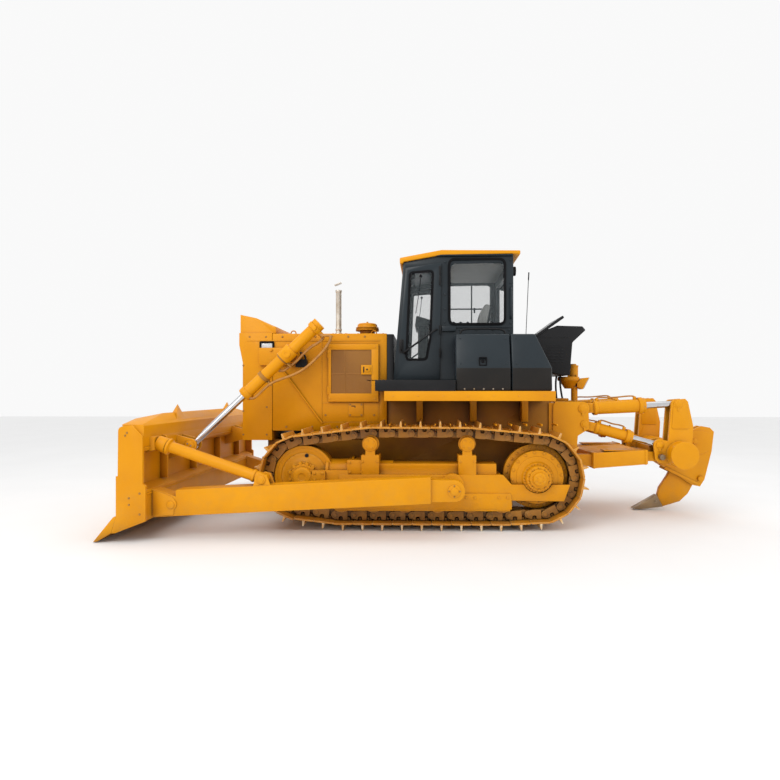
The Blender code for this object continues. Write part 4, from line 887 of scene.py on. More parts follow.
for side, label in sides:
    body = "lift_barrel_" + label
    radius = lift["radius"]
    clamps, pieces = [], []
    for reach in lift["bands"]:
        clamps.append(turned(
            "band", onLift(side, reach), onLift(side, 3),
            [
                (-0.022, radius + 0.001), (-0.020, radius + 0.010), (0.020, radius + 0.010),
                (0.022, radius + 0.001)
            ],
            28, 0.0, radius - 0.010
        ))
        clamps.append(bar(
            "saddle", onLift(side, reach, radius), onLift(side, reach, radius + 0.055), 0.020, 8
        ))
        clamps.append(bar(
            "nut", onLift(side, reach, radius + 0.02, 0.03), onLift(side, reach, radius + 0.085, 0.03),
            0.011, 6
        ))
    pieces.append(turned(
        "head", onLift(side, lift["head"] - 0.115), onLift(side, 3),
        [
            (0, radius + 0.001), (0.008, radius + 0.018), (0.060, radius + 0.020), (0.064, radius + 0.008),
            (0.095, radius + 0.010), (0.100, radius + 0.004), (0.116, radius - 0.010), (0.117, 0.02)
        ],
        32, 0.002
    ))
    pieces.append(bar(
        "port", onLift(side, lift["head"] - 0.08, 0.05), onLift(side, lift["head"] - 0.08, radius + 0.065),
        0.030, 16
    ))
    pieces.append(bar(
        "port2", onLift(side, lift["head"] - 0.08, 0.02, 0.04),
        onLift(side, lift["head"] - 0.08, 0.02, radius + 0.05), 0.026, 12
    ))
    pieces.append(turned(
        "gland", onLift(side, lift["gland"] - 0.002), onLift(side, 3),
        [
            (0, 0.052), (0.001, radius + 0.010), (0.016, radius + 0.018), (0.050, radius + 0.018),
            (0.053, radius + 0.006), (0.075, radius + 0.004), (0.078, radius + 0.0005)
        ],
        32, 0.002
    ))
    done("lift_trim_" + label, pieces, body, yellow)
    done("lift_clamps_" + label, clamps, body, linkPaint)
    spots = [
        tuple(
            Vector(onLift(side, lift["gland"] + 0.002))
            + (liftDown * math.cos(a) + Vector((0, math.sin(a), 0))) * 0.066
        )
        for a in (0.3 + math.pi / 4 * i for i in range(8))
    ]
    finished(bolts("gland_bolts_" + label, spots, tuple(-liftAim), 0.009, 0.009), body, worn)
    wiper = turned(
        "rod_wiper_" + label, onLift(side, lift["gland"] - 0.012), onLift(side, 3),
        [(0, 0.0415), (0.002, 0.052), (0.014, 0.054)], 24
    )
    finished(wiper, body, rubber)
    routes = (
        [
            (2.055, 0.13), (2.10, 0.17), (2.135, 0.20), (2.10, 0.25), (1.90, 0.288), (1.64, 0.285),
            (1.48, 0.24), (1.31, 0.155), (1.20, 0.118), (1.10, 0.115), (0.96, 0.120), (0.915, 0.105),
            (0.91, 0.075)
        ],
        [
            (2.055, 0.12), (2.07, 0.155), (1.99, 0.165), (1.86, 0.125), (1.72, 0.125), (1.60, 0.135),
            (1.52, 0.118), (1.46, 0.118), (1.40, 0.105), (1.39, 0.070)
        ],
    )
    for number, route in enumerate(routes):
        across = 0.028 if number == 0 else -0.028
        places = [onLift(side, reach, off, across) for reach, off in route]
        line = pipe(f"lift_line_{number}_{label}", places, lift["lineRadius"])
        ends = [
            bar(
                "nut", onLift(side, route[i][0], route[i][1] - 0.02, across),
                onLift(side, route[i][0], route[i][1] + 0.02, across), 0.021, 6
            )
            for i in (0, -1)
        ]
        done(f"lift_line_{number}_{label}", [line] + ends, body, linePaint)
    # trunnion cap outside the barrel, and the bracket's valve behind it
    trunnion = onLift(side, 1.60)
    cap = turned(
        "cap", trunnion, (trunnion[0], side * 5, trunnion[2]),
        [(0.05, 0.060), (0.086, 0.058), (0.094, 0.048), (0.095, 0.015), (0.090, 0.012)], 24, 0.002
    )
    finished(joined("trunnion_cap_" + label, [cap]), body, yellow)
    valve = sideBlock("valve", side, -1.80, -1.66, 0.655, 0.755, 1.90, 2.00, 0.008)
    spools = [
        bar(
            "spool", (-1.80 - 0.06, side * (0.68 + 0.03 * i), 1.95),
            (-1.80, side * (0.68 + 0.03 * i), 1.95), 0.012, 10
        )
        for i in range(3)
    ]
    elbow = pipe(
        "elbow",
        [
            (-1.68, side * 0.70, 1.99), (-1.68, side * 0.70, 2.05), (-1.74, side * 0.70, 2.09),
            (-1.82, side * 0.67, 2.10), (-1.84, side * 0.61, 2.10)
        ],
        0.012
    )
    done("lift_valve_" + label, [valve, elbow] + spools, "machine", black)
    plateFace = side * 0.6505
    finished(
        bolts(
            "yoke_bolts_" + label,
            [
                (-2.13 + a, plateFace, 1.95 + b)
                for a in (0.0, 0.16)
                for b in (0.02, 0.17)
            ] + [(-1.82, plateFace, 2.12)],
            (0, side, 0), 0.016, 0.014
        ),
        "machine", yellow
    )
    pinCap = turned(
        "rod_pin_cap_" + label, (lift["eyeX"], side * (lift["y"] + 0.095), lift["eyeZ"]),
        (lift["eyeX"], side * 5, lift["eyeZ"]),
        [(-0.001, 0.062), (0.012, 0.060), (0.014, 0.045), (0.022, 0.042)], 24, 0.002
    )
    finished(pinCap, "blade", yellow)
    finished(
        bolts(
            "rod_pin_bolts_" + label,
            ringOf((lift["eyeX"], side * (lift["y"] + 0.117), lift["eyeZ"]), 0.026, 3, side), (0, side, 0),
            0.008, 0.007
        ),
        "blade", worn
    )
print("stage: lift cylinders finished")

# hood sides: lamp, screened doors, plates, beads and bolts
hoodTrim = {
    "face": 0.6035, "lamp": (-2.289, -2.105, 2.120, 2.235), "doorFace": 0.6255,
    "door": (-1.408, -0.773, 1.470, 2.195), "screen": (-1.372, -0.862, 1.575, 2.125), "wires": (34, 36),
}
for side, label in sides:
    face = hoodTrim["face"]
    x0, x1, z0, z1 = hoodTrim["lamp"]
    ring = frameRing(
        "lamp_frame_" + label, softened([(x0, z0), (x1, z0), (x1, z1), (x0, z1)], 0.014), 0.022,
        side * (face - 0.002), side * (face + 0.014)
    )
    finished(ring, "machine", rubber)
    lens = [plate(
        "lens",
        softened(
            [
                (x0 + 0.02, z0 + 0.02), (x1 - 0.02, z0 + 0.02), (x1 - 0.02, z1 - 0.02),
                (x0 + 0.02, z1 - 0.02)
            ],
            0.008
        ),
        side * (face - 0.001), side * (face + 0.006), "Y", 0.002
    )]
    lens += [
        sideBlock(
            "rib", side, x0 + 0.03 + 0.018 * i, x0 + 0.036 + 0.018 * i, face + 0.005, face + 0.009,
            z0 + 0.026, z1 - 0.026, 0.001
        )
        for i in range(7)
    ]
    done("lamp_lens_" + label, lens, "machine", lampGlass)
    beads = [
        sideBlock("bead", side, -2.452, -0.760, 0.6005, 0.6075, 2.240, 2.252, 0.002),
        sideBlock("bead", side, -1.500, -1.490, 0.6005, 0.6055, 1.205, 2.238, 0.002),
        sideBlock("bead", side, -1.490, -0.770, 0.6005, 0.6055, 1.452, 1.460, 0.002),
        sideBlock("bead", side, -1.490, -0.770, 0.6005, 0.6055, 1.205, 1.213, 0.002),
        sideBlock("bead", side, -0.777, -0.770, 0.6005, 0.6055, 1.205, 1.452, 0.002),
        sideBlock("cover", side, -1.155, -0.970, 0.601, 0.611, 1.280, 1.453, 0.004),
        sideBlock("front_bead", side, -2.136, -2.130, 0.600, 0.6055, 1.11, 2.236, 0.002),
    ]
    beads.append(pipe(
        "stay", [(-1.975, side * 0.613, 1.852), (-1.86, side * 0.622, 1.697), (-1.49, side * 0.613, 1.197)],
        0.010
    ))
    done("hood_beads_" + label, beads, "machine", yellow)
    # the cover's slots are black strips: painted shade in the openings
    slot = [
        sideBlock("slot", side, -1.120, -1.075, 0.6095, 0.6125, 1.408, 1.420, 0.001),
        sideBlock("slot", side, -1.078, -1.068, 0.6095, 0.6125, 1.392, 1.420, 0.001)
    ]
    done("cover_slots_" + label, slot, "machine", black)
    spots = [(x, side * 0.6105, z) for x in (-1.135, -0.990) for z in (1.300, 1.433)]
    spots += [(-2.42 + 0.21 * i, side * 0.602, 2.295) for i in range(8)]
    spots += [
        (-2.50, side * 0.602, z)
        for z in (1.05, 1.35, 1.65, 1.93)
    ] + [(-2.20, side * 0.602, z) for z in (1.05, 1.40)]
    spots += [
        (x, side * 0.602, 1.15)
        for x in (-1.95, -1.62, -1.30, -0.95)
    ] + [(-1.45, side * 0.602, 1.30), (-0.83, side * 0.602, 1.30)]
    finished(bolts("hood_bolts_" + label, spots, (0, side, 0), 0.0095, 0.008), "machine", linkPaint)
    # the screened door and its latch
    body, face = "engine_door_" + label, hoodTrim["doorFace"]
    x0, x1, z0, z1 = hoodTrim["door"]
    a0, a1, b0, b1 = hoodTrim["screen"]
    bars = [
        sideBlock(
            "frame", side, x0, x1, face - 0.001, face + 0.016, b1, z1, 0.004
        ), sideBlock("frame", side, x0, x1, face - 0.001, face + 0.016, z0, b0, 0.004),
        sideBlock(
            "frame", side, x0, a0, face - 0.001, face + 0.016, b0 - 0.004, b1 + 0.004, 0.004
        ), sideBlock("frame", side, a1, x1, face - 0.001, face + 0.016, b0 - 0.004, b1 + 0.004, 0.004),
        sideBlock("latch", side, -0.993, -0.854, face, face + 0.024, 1.811, 1.935, 0.006), sideBlock(
            "pull", side, -0.945, -0.875, face + 0.022, face + 0.034, 1.845, 1.905, 0.006
        ),
    ]
    bars += [
        bar("hinge", (x0, side * (face + 0.010), z), (x0, side * (face + 0.010), z + 0.10), 0.014, 14)
        for z in (1.56, 2.02)
    ]
    done("door_frame_" + label, bars, body, yellow)
    # the latch's recess is a black strip: painted shade in the hollow; the key is black
    done(
        "latch_recess_" + label,
        [
            sideBlock("recess", side, -0.966, -0.952, face + 0.022, face + 0.027, 1.835, 1.912, 0.002),
            sideBlock("key", side, -0.925, -0.905, face + 0.033, face + 0.038, 1.865, 1.885, 0.002)
        ],
        body, black
    )
    across, up = hoodTrim["wires"]
    grid = [
        sideBlock(
            "wire", side, a0 + (a1 - a0) * (i + 0.5) / across - 0.0022,
            a0 + (a1 - a0) * (i + 0.5) / across + 0.0022, face - 0.001, face + 0.0045, b0, b1, 0
        )
        for i in range(across)
    ]
    grid += [
        sideBlock(
            "wire", side, a0, a1, face - 0.001, face + 0.0035, b0 + (b1 - b0) * (i + 0.5) / up - 0.0022,
            b0 + (b1 - b0) * (i + 0.5) / up + 0.0022, 0
        )
        for i in range(up)
    ]
    # a sheet just behind the wires closes the screen in the same darker amber: painted shade of the bay behind
    # it
    grid.append(sideBlock(
        "back", side, a0 - 0.002, a1 + 0.002, face - 0.0005, face + 0.001, b0 - 0.002, b1 + 0.002, 0.0004
    ))
    grid.append(sideBlock("stiffener", side, a0 + 0.17, a0 + 0.182, face, face + 0.008, b0, b1, 0.002))
    grid.append(sideBlock("stiffener", side, a0, a1, face, face + 0.008, 1.815, 1.827, 0.002))
    done("door_screen_" + label, grid, body, meshPaint)
    finished(
        bolts(
            "door_bolts_" + label,
            [
                (x, side * (face + 0.015), z)
                for x in (x0 + 0.018, x1 - 0.04)
                for z in (z0 + 0.04, z1 - 0.03)
            ],
            (0, side, 0), 0.009, 0.008
        ),
        body, yellow
    )

# nose: grille bars in the radiator recess, with a black core behind them
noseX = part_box("radiator_guard")[0][0]
grille = [
    block(
        "bar", (noseX + 0.075, -0.475 + 0.95 * i / 23 - 0.006, 1.125),
        (noseX + 0.105, -0.475 + 0.95 * i / 23 + 0.006, 2.215), 0.003
    )
    for i in range(24)
]
grille += [
    block("cross", (noseX + 0.068, -0.495, z - 0.014), (noseX + 0.10, 0.495, z + 0.014), 0.004)
    for z in (1.30, 1.50, 1.69, 1.87, 2.05)
]
done("grille_bars", grille, "machine", yellow)
core = [block("core", (noseX + 0.112, -0.497, 1.123), (noseX + 0.128, 0.497, 2.217), 0.002)]
core += [
    block("fin", (noseX + 0.106, -0.495, 1.135 + 0.03 * i), (noseX + 0.114, 0.495, 1.143 + 0.03 * i), 0)
    for i in range(36)
]
done("radiator_core", core, "machine", black)
spots = [
    (noseX + 0.001, y, z)
    for y in (-0.555, 0.555)
    for z in (2.22, 2.31)
] + [(noseX + 0.006, y, 2.27) for y in (-0.35, -0.12, 0.12, 0.35)]
finished(bolts("nose_bolts", spots, (-1, 0, 0), 0.012, 0.010), "machine", yellow)

# hood top: seams, lifting eyes, exhaust and air cleaner
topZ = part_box("hood")[1][2]
beads = [
    block("seam", (-2.06, y - 0.005, topZ - 0.001), (-0.69, y + 0.005, topZ + 0.005), 0.002)
    for y in (-0.30, 0.30)
]
beads += [
    block("seam", (x - 0.005, -0.585, topZ - 0.001), (x + 0.005, 0.585, topZ + 0.005), 0.002)
    for x in (-1.62, -1.18)
]
for x, y in ((-1.9, -0.42), (-1.9, 0.42), (-0.85, -0.42), (-0.85, 0.42)):
    beads.append(pipe(
        "eye",
        [
            (x - 0.035, y, topZ - 0.002), (x - 0.035, y, topZ + 0.045), (x, y, topZ + 0.062),
            (x + 0.035, y, topZ + 0.045), (x + 0.035, y, topZ - 0.002)
        ],
        0.008
    ))
done("hood_top_trim", beads, "machine", yellow)
finished(
    bolts(
        "hood_top_bolts", [(-2.0 + 0.16 * i, y, topZ) for i in range(9) for y in (-0.555, 0.555)],
        (0, 0, 1), 0.010, 0.008
    ),
    "machine", yellow
)
stackLow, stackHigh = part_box("exhaust_pipe")
stackZ, stackTop = stackLow[2], stackHigh[2]
stackX, stackY = driveX - 2.52, (stackLow[1] + stackHigh[1]) / 2
stack = [
    turned(
        "collar", (stackX, stackY, stackZ), (stackX, stackY, 9),
        [
            (0, 0.078), (0.02, 0.078), (0.022, 0.060), (0.085, 0.056), (0.09, 0.040), (0.66, 0.040),
            (0.662, 0.046), (0.690, 0.046), (0.692, 0.036)
        ],
        28, 0.001
    ),
    turned(
        "clamp", (stackX, stackY, stackZ + 0.12), (stackX, stackY, 9),
        [(0, 0.0405), (0.002, 0.046), (0.028, 0.046), (0.03, 0.0405)], 28
    ),
    bar(
        "clamp_bolt", (stackX - 0.03, stackY - 0.05, stackZ + 0.134),
        (stackX + 0.03, stackY - 0.05, stackZ + 0.134), 0.007, 8
    ),
    plate(
        "rain_flap",
        softened(
            [
                (stackX - 0.062, stackTop - 0.012), (stackX - 0.052, stackTop - 0.018),
                (stackX + 0.040, stackTop + 0.020), (stackX + 0.036, stackTop + 0.030)
            ],
            0.004
        ),
        stackY - 0.046, stackY + 0.046, "Y", 0.002
    ),
]
exhaust = done("exhaust_stack", stack, "machine", pipeSteel)
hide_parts("exhaust_pipe")
cleanerX, cleanerY = driveX - 2.065, -0.30
cleaner = [turned(
    "dome", (cleanerX, cleanerY, topZ + 0.13), (cleanerX, cleanerY, 9),
    [(0, 0.128), (0.015, 0.128), (0.028, 0.110), (0.034, 0.05), (0.036, 0.02)], 36, 0.002
)]
cleaner += [
    turned(
        "louvre", (cleanerX, cleanerY, topZ + 0.062 + 0.018 * i), (cleanerX, cleanerY, 9),
        [(0, 0.153 - 0.002 * i), (0.006, 0.156 - 0.002 * i), (0.010, 0.151 - 0.002 * i)], 36
    )
    for i in range(3)
]
cleaner.append(turned(
    "strap", (cleanerX, cleanerY, topZ + 0.03), (cleanerX, cleanerY, 9),
    [(0, 0.094), (0.002, 0.100), (0.022, 0.100), (0.024, 0.094)], 32
))
cleaner.append(bar(
    "knob", (cleanerX, cleanerY, topZ + 0.155), (cleanerX, cleanerY, topZ + 0.185), 0.013, 8
))
done("air_cleaner_trim", cleaner, "machine", yellow)
print("stage: hood finished")

# cab: window rubbers, hinges, latch, tubes, roof edges, levers and seat
cabTrim = {
    "skin": 0.7605, "doorSkin": 0.785, "rubberWidth": 0.028, "tube": 0.013,
    "rearWindow": (0.098, 0.812, 2.418, 3.247), "hingeZ": (2.02, 2.30, 2.906, 3.03),
}
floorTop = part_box("seat")[0][2]
shellX0, shellX1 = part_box("cab_shell")[0][0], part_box("cab_shell")[1][0]
for side, label in sides:
    body = "cab_door_" + label
    low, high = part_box(body)
    dx0, hingeX, doorFace = low[0], high[0] - 0.012, max(abs(low[1]), abs(high[1]))
    doorBits = [
        bar(
            "hinge", (hingeX, side * (doorFace + 0.004), z), (hingeX, side * (doorFace + 0.004), z + 0.11),
            0.013, 14
        )
        for z in cabTrim["hingeZ"]
    ]
    doorBits += [sideBlock(
        "lock", side, dx0 + 0.03, dx0 + 0.085, doorFace - 0.002, doorFace + 0.014, 2.07, 2.24, 0.005
    )]
    doorBits.append(pipe(
        "pull",
        [
            (dx0 + 0.058, side * (doorFace + 0.008), 2.095),
            (dx0 + 0.058, side * (doorFace + 0.045), 2.105), (dx0 + 0.058, side * (doorFace + 0.050), 2.16),
            (dx0 + 0.058, side * (doorFace + 0.045), 2.205), (dx0 + 0.058, side * (doorFace + 0.008), 2.215)
        ],
        0.008
    ))
    done("door_hinges_" + label, doorBits, body, black)
    # window rubbers, and the rear side window's slide
    x0, x1, z0, z1 = cabTrim["rearWindow"]
    skin = cabTrim["skin"]
    outline = softened([(x0, z0), (x1, z0), (x1, z1), (x0, z1)], 0.09, 6)
    done(
        "rear_rubber_" + label,
        [frameRing(
            "rubber", outline, cabTrim["rubberWidth"], side * (skin - 0.002), side * (skin + 0.008), "Y",
            0.003
        )],
        "machine", rubber
    )
    glassRim = {(round(v.co.x, 4), round(v.co.z, 4)) for v in cadNodes["door_glass_" + label].data.vertices}
    midX, midZ = sum(p[0] for p in glassRim) / len(glassRim), sum(p[1] for p in glassRim) / len(glassRim)
    glassRim = sorted(glassRim, key=lambda p: math.atan2(p[1] - midZ, (p[0] - midX) * 3))
    doorRing = frameRing(
        "door_rubber_" + label, glassRim, cabTrim["rubberWidth"], side * (doorFace - 0.004),
        side * (doorFace + 0.007), "Y", 0.002
    )
    finished(doorRing, body, rubber)
    if side > 0:
        slide = [
            sideBlock("mullion", side, 0.50, 0.52, skin - 0.018, skin - 0.002, z0 + 0.01, z1 - 0.01, 0.003),
            sideBlock("mullion", side, x0 + 0.01, x1 - 0.01, skin - 0.018, skin - 0.002, 2.83, 2.85, 0.003)
        ]
        slide.append(sideBlock("catch", side, 0.54, 0.565, skin - 0.012, skin + 0.004, 2.78, 2.86, 0.004))
        done("window_slide_" + label, slide, "machine", rubber)
    posts = [
        sideBlock(
            "belt", side, shellX0 + 0.42, shellX1 - 0.02, skin - 0.002, skin + 0.007, 2.385, 2.397, 0.003
        ),
        sideBlock(
            "gutter", side, shellX0 + 0.30, shellX1 - 0.01, skin - 0.002, skin + 0.016, 3.272, 3.290, 0.004
        ),
        sideBlock("latch_box", side, 0.023, 0.194, skin - 0.002, skin + 0.026, 2.341, 2.403, 0.006),
        sideBlock("hinge_pad", side, -0.040, 0.020, skin - 0.002, skin + 0.022, 2.906, 2.935, 0.004),
        sideBlock("hinge_pad", side, -0.040, 0.020, skin - 0.002, skin + 0.022, 3.062, 3.091, 0.004),
        bar(
            "hinge_pin", (-0.010, side * (skin + 0.018), 2.90), (-0.010, side * (skin + 0.018), 3.10),
            0.010, 12
        ),
    ]
    posts.append(pipe(
        "handle",
        [
            (0.872, side * (skin - 0.004), 2.498), (0.872, side * (skin + 0.040), 2.515),
            (0.872, side * (skin + 0.050), 2.60), (0.872, side * (skin + 0.050), 2.78),
            (0.872, side * (skin + 0.040), 2.860), (0.872, side * (skin - 0.004), 2.878)
        ],
        cabTrim["tube"]
    ))
    done("cab_trim_" + label, posts, "machine", slate)
    finished(
        bolts(
            "cab_bolts_" + label,
            [(x, side * (skin - 0.001), 2.36) for x in (0.25, 0.45, 0.65, 0.85)] + [(0.872, side * (skin - 0.001), z) for z in (2.44, 2.94, 3.22)] + [
                (0.060, side * (skin - 0.001), z)
                for z in (2.46, 2.62, 2.80, 3.20)
            ],
            (0, side, 0), 0.009, 0.007
        ),
        "machine", slate
    )
    wiper = [
        bar(
            "motor", (-0.24, side * (doorFace - 0.004), 3.02), (-0.24, side * (doorFace + 0.010), 3.02),
            0.018, 14
        ),
        pipe(
            "arm",
            [
                (-0.24, side * (doorFace + 0.010), 3.02), (-0.25, side * (doorFace + 0.012), 2.86),
                (-0.30, side * (doorFace + 0.008), 2.56)
            ],
            0.004
        )
    ]
    done("door_wiper_" + label, wiper, body, rubber)

# roof: boxes, knob, lamps and seams
roofX0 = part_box("cab_roof")[0][0]
roofX1, roofZ1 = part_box("cab_roof")[1][0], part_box("cab_roof")[1][2]
roofBits = [
    block("box", (0.703, -0.30, roofZ1 - 0.055), (0.776, -0.10, roofZ1 + 0.006), 0.006),
    block("box", (0.703, 0.10, roofZ1 - 0.055), (0.776, 0.30, roofZ1 + 0.006), 0.006)
]
roofBits.append(bar("knob", (0.85, 0.0, roofZ1 - 0.05), (0.85, 0.0, roofZ1 + 0.006), 0.022, 16))
roofBits += [
    block(
        "seam", (roofX0 + 0.30, y - 0.006, roofZ1 - 0.050), (roofX1 - 0.20, y + 0.006, roofZ1 - 0.004),
        0.003
    )
    for y in (-0.42, 0.42)
]
done("roof_boxes", roofBits, "machine", yellow)
lampY = (-0.52, 0.52)
lampBits, lensBits = [], []
for y in lampY:
    for x, turn in ((shellX0 + 0.235, -1), (shellX1 + 0.012, 1)):
        z = 3.13 if turn > 0 else 3.08
        lampBits.append(turned(
            "lamp", (x, y, z), (x + turn, y, z),
            [(-0.035, 0.03), (-0.03, 0.045), (0.02, 0.058), (0.045, 0.060), (0.050, 0.056), (0.046, 0.050)],
            24
        ))
        lensBits.append(turned(
            "lens", (x, y, z), (x + turn, y, z), [(0.038, 0.052), (0.046, 0.046), (0.049, 0.02)], 24
        ))
        lampBits.append(block(
            "stem", (x - 0.012, y - 0.012, z + 0.045), (x + 0.012, y + 0.012, z + 0.085), 0.003
        ))
done("cab_lamps", lampBits, "machine", black)
done("cab_lamp_lenses", lensBits, "machine", lampGlass)

# the grab tube across each door
for side, label in sides:
    tube = pipe(
        "grab_tube_" + label,
        [
            (-0.443, side * 0.780, 2.066), (-0.440, side * 0.835, 2.072), (-0.415, side * 0.850, 2.096),
            (-0.25, side * 0.853, 2.215), (-0.08, side * 0.850, 2.335), (-0.045, side * 0.825, 2.358),
            (-0.040, side * 0.785, 2.360)
        ],
        0.012
    )
    finished(tube, "cab_door_" + label, black)

# inside: seat, console, levers, pedals and a dash
seatLook = {"x": driveX - 0.75, "half": 0.255, "floor": floorTop, "fill": 0.55}
seatX = seatLook["x"]
shellPieces = [block(
    "base", (seatX - 0.20, -0.20, floorTop + 0.003), (seatX + 0.18, 0.20, floorTop + 0.14), 0.012
)]
shellPieces += [
    block(
        "bellows", (seatX - 0.185 + 0.006 * (i % 2), -0.185 + 0.006 * (i % 2), floorTop + 0.14 + 0.028 * i),
        (seatX + 0.165 - 0.006 * (i % 2), 0.185 - 0.006 * (i % 2), floorTop + 0.17 + 0.028 * i), 0.008
    )
    for i in range(6)
]
shellPieces.append(block(
    "pan", (seatX - 0.24, -0.235, floorTop + 0.305), (seatX + 0.22, 0.235, floorTop + 0.345), 0.012
))
shellPieces.append(plate(
    "back_pan",
    softened(
        [
            (seatX + 0.185, floorTop + 0.34), (seatX + 0.225, floorTop + 0.34),
            (seatX + 0.338, floorTop + 1.00), (seatX + 0.305, floorTop + 1.01)
        ],
        0.01
    ),
    -0.215, 0.215, "Y", 0.008
))
shellPieces += [
    sideBlock(
        "rest_post", side, seatX + 0.17, seatX + 0.215, 0.255, 0.300, floorTop + 0.34, floorTop + 0.61,
        0.008
    )
    for side, label in sides
]
done("seat_frame", shellPieces, "machine", black)
padPieces = []
cushion = plate(
    "cushion",
    softened(
        [
            (seatX - 0.27, floorTop + 0.345), (seatX + 0.20, floorTop + 0.345),
            (seatX + 0.20, floorTop + 0.455), (seatX - 0.05, floorTop + 0.440),
            (seatX - 0.22, floorTop + 0.468), (seatX - 0.27, floorTop + 0.43)
        ],
        0.045, 5
    ),
    -0.25, 0.25, "Y", 0.020, 3
)
backPad = plate(
    "back",
    softened(
        [
            (seatX + 0.105, floorTop + 0.445), (seatX + 0.205, floorTop + 0.43),
            (seatX + 0.315, floorTop + 1.02), (seatX + 0.245, floorTop + 1.035),
            (seatX + 0.19, floorTop + 0.92), (seatX + 0.15, floorTop + 0.66)
        ],
        0.035, 5
    ),
    -0.24, 0.24, "Y", 0.020, 3
)
padPieces += [cushion, backPad]
padPieces += [
    plate(
        "rest",
        softened(
            [
                (seatX - 0.10, floorTop + 0.605), (seatX + 0.27, floorTop + 0.605),
                (seatX + 0.27, floorTop + 0.655), (seatX - 0.10, floorTop + 0.655)
            ],
            0.024, 5
        ),
        side * 0.245, side * 0.315, "Y", 0.012, 2
    )
    for side, label in sides
]
padPieces += [
    sideBlock(
        "bolster", side, seatX - 0.22, seatX + 0.16, 0.19, 0.252, floorTop + 0.42, floorTop + 0.478, 0.024
    )
    for side, label in sides
]
seatPads = done("seat_pads", padPieces, "machine", vinyl)
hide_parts("seat")
piping = [
    pipe(
        "welt", [(seatX - 0.262, y * 0.96, floorTop + 0.44), (seatX - 0.262, -y * 0.96, floorTop + 0.44)],
        0.006
    )
    for y in (0.24,)
]
piping += [
    pipe(
        "seam",
        [
            (seatX - 0.21, y, floorTop + 0.472), (seatX - 0.05, y, floorTop + 0.4475),
            (seatX + 0.12, y, floorTop + 0.451)
        ],
        0.004
    )
    for y in (-0.10, 0.0, 0.10)
]
piping += [
    pipe(
        "back_seam",
        [
            (seatX + 0.134, y, floorTop + 0.60), (seatX + 0.150, y, floorTop + 0.68),
            (seatX + 0.186, y, floorTop + 0.90)
        ],
        0.004
    )
    for y in (-0.10, 0.0, 0.10)
]
finished(joined("seat_welts", piping), "machine", vinyl)
insideBits = [
    block("dash", (shellX0 + 0.30, -0.34, floorTop + 0.003), (shellX0 + 0.44, 0.34, floorTop + 0.72), 0.020),
    plate(
        "dash_top",
        softened(
            [
                (shellX0 + 0.26, floorTop + 0.72), (shellX0 + 0.50, floorTop + 0.70),
                (shellX0 + 0.48, floorTop + 0.80), (shellX0 + 0.28, floorTop + 0.86)
            ],
            0.02
        ),
        -0.38, 0.38, "Y", 0.012
    ),
    block("console", (seatX - 0.18, -0.52, floorTop + 0.003), (seatX + 0.22, -0.36, floorTop + 0.52), 0.018),
    block("console", (seatX - 0.18, 0.36, floorTop + 0.003), (seatX + 0.22, 0.52, floorTop + 0.52), 0.018),
    block("heater", (shellX1 - 0.16, -0.40, floorTop + 0.003), (shellX1 - 0.03, 0.40, floorTop + 0.30), 0.015),
]
for y, lean, count in ((-0.44, -0.05, 3), (0.44, 0.04, 2)):
    for i in range(count):
        x = seatX - 0.13 + 0.09 * i
        insideBits.append(bar(
            "lever", (x, y, floorTop + 0.50), (x - 0.05, y + lean, floorTop + 0.72), 0.009, 10
        ))
        insideBits.append(turned(
            "knob", (x - 0.05, y + lean, floorTop + 0.71), (x - 0.062, y + lean * 1.24, floorTop + 0.763),
            [(0, 0.010), (0.01, 0.021), (0.035, 0.024), (0.050, 0.016), (0.055, 0.006)], 14
        ))
for y in (-0.14, 0.14):
    insideBits.append(bar(
        "pedal_arm", (shellX0 + 0.44, y, floorTop + 0.22), (shellX0 + 0.52, y, floorTop + 0.10), 0.010, 8
    ))
    insideBits.append(block(
        "pedal", (shellX0 + 0.51, y - 0.06, floorTop + 0.05), (shellX0 + 0.535, y + 0.06, floorTop + 0.15),
        0.006
    ))
done("cab_controls", insideBits, "machine", black)
dials = [
    turned(
        "dial", (shellX0 + 0.49, y, floorTop + 0.765), (shellX0 + 2, y, floorTop + 0.90),
        [(-0.01, 0.034), (0.004, 0.034), (0.006, 0.028), (0.005, 0.010)], 18
    )
    for y in (-0.26, -0.16, -0.06, 0.06, 0.16, 0.26)
]
done("dash_dials", dials, "machine", lampGlass)
lining = block("headliner", (shellX0 + 0.32, -0.68, 3.215), (shellX1 - 0.04, 0.68, 3.240), 0.008)
finished(lining, "machine", liner)
print("stage: cab finished")
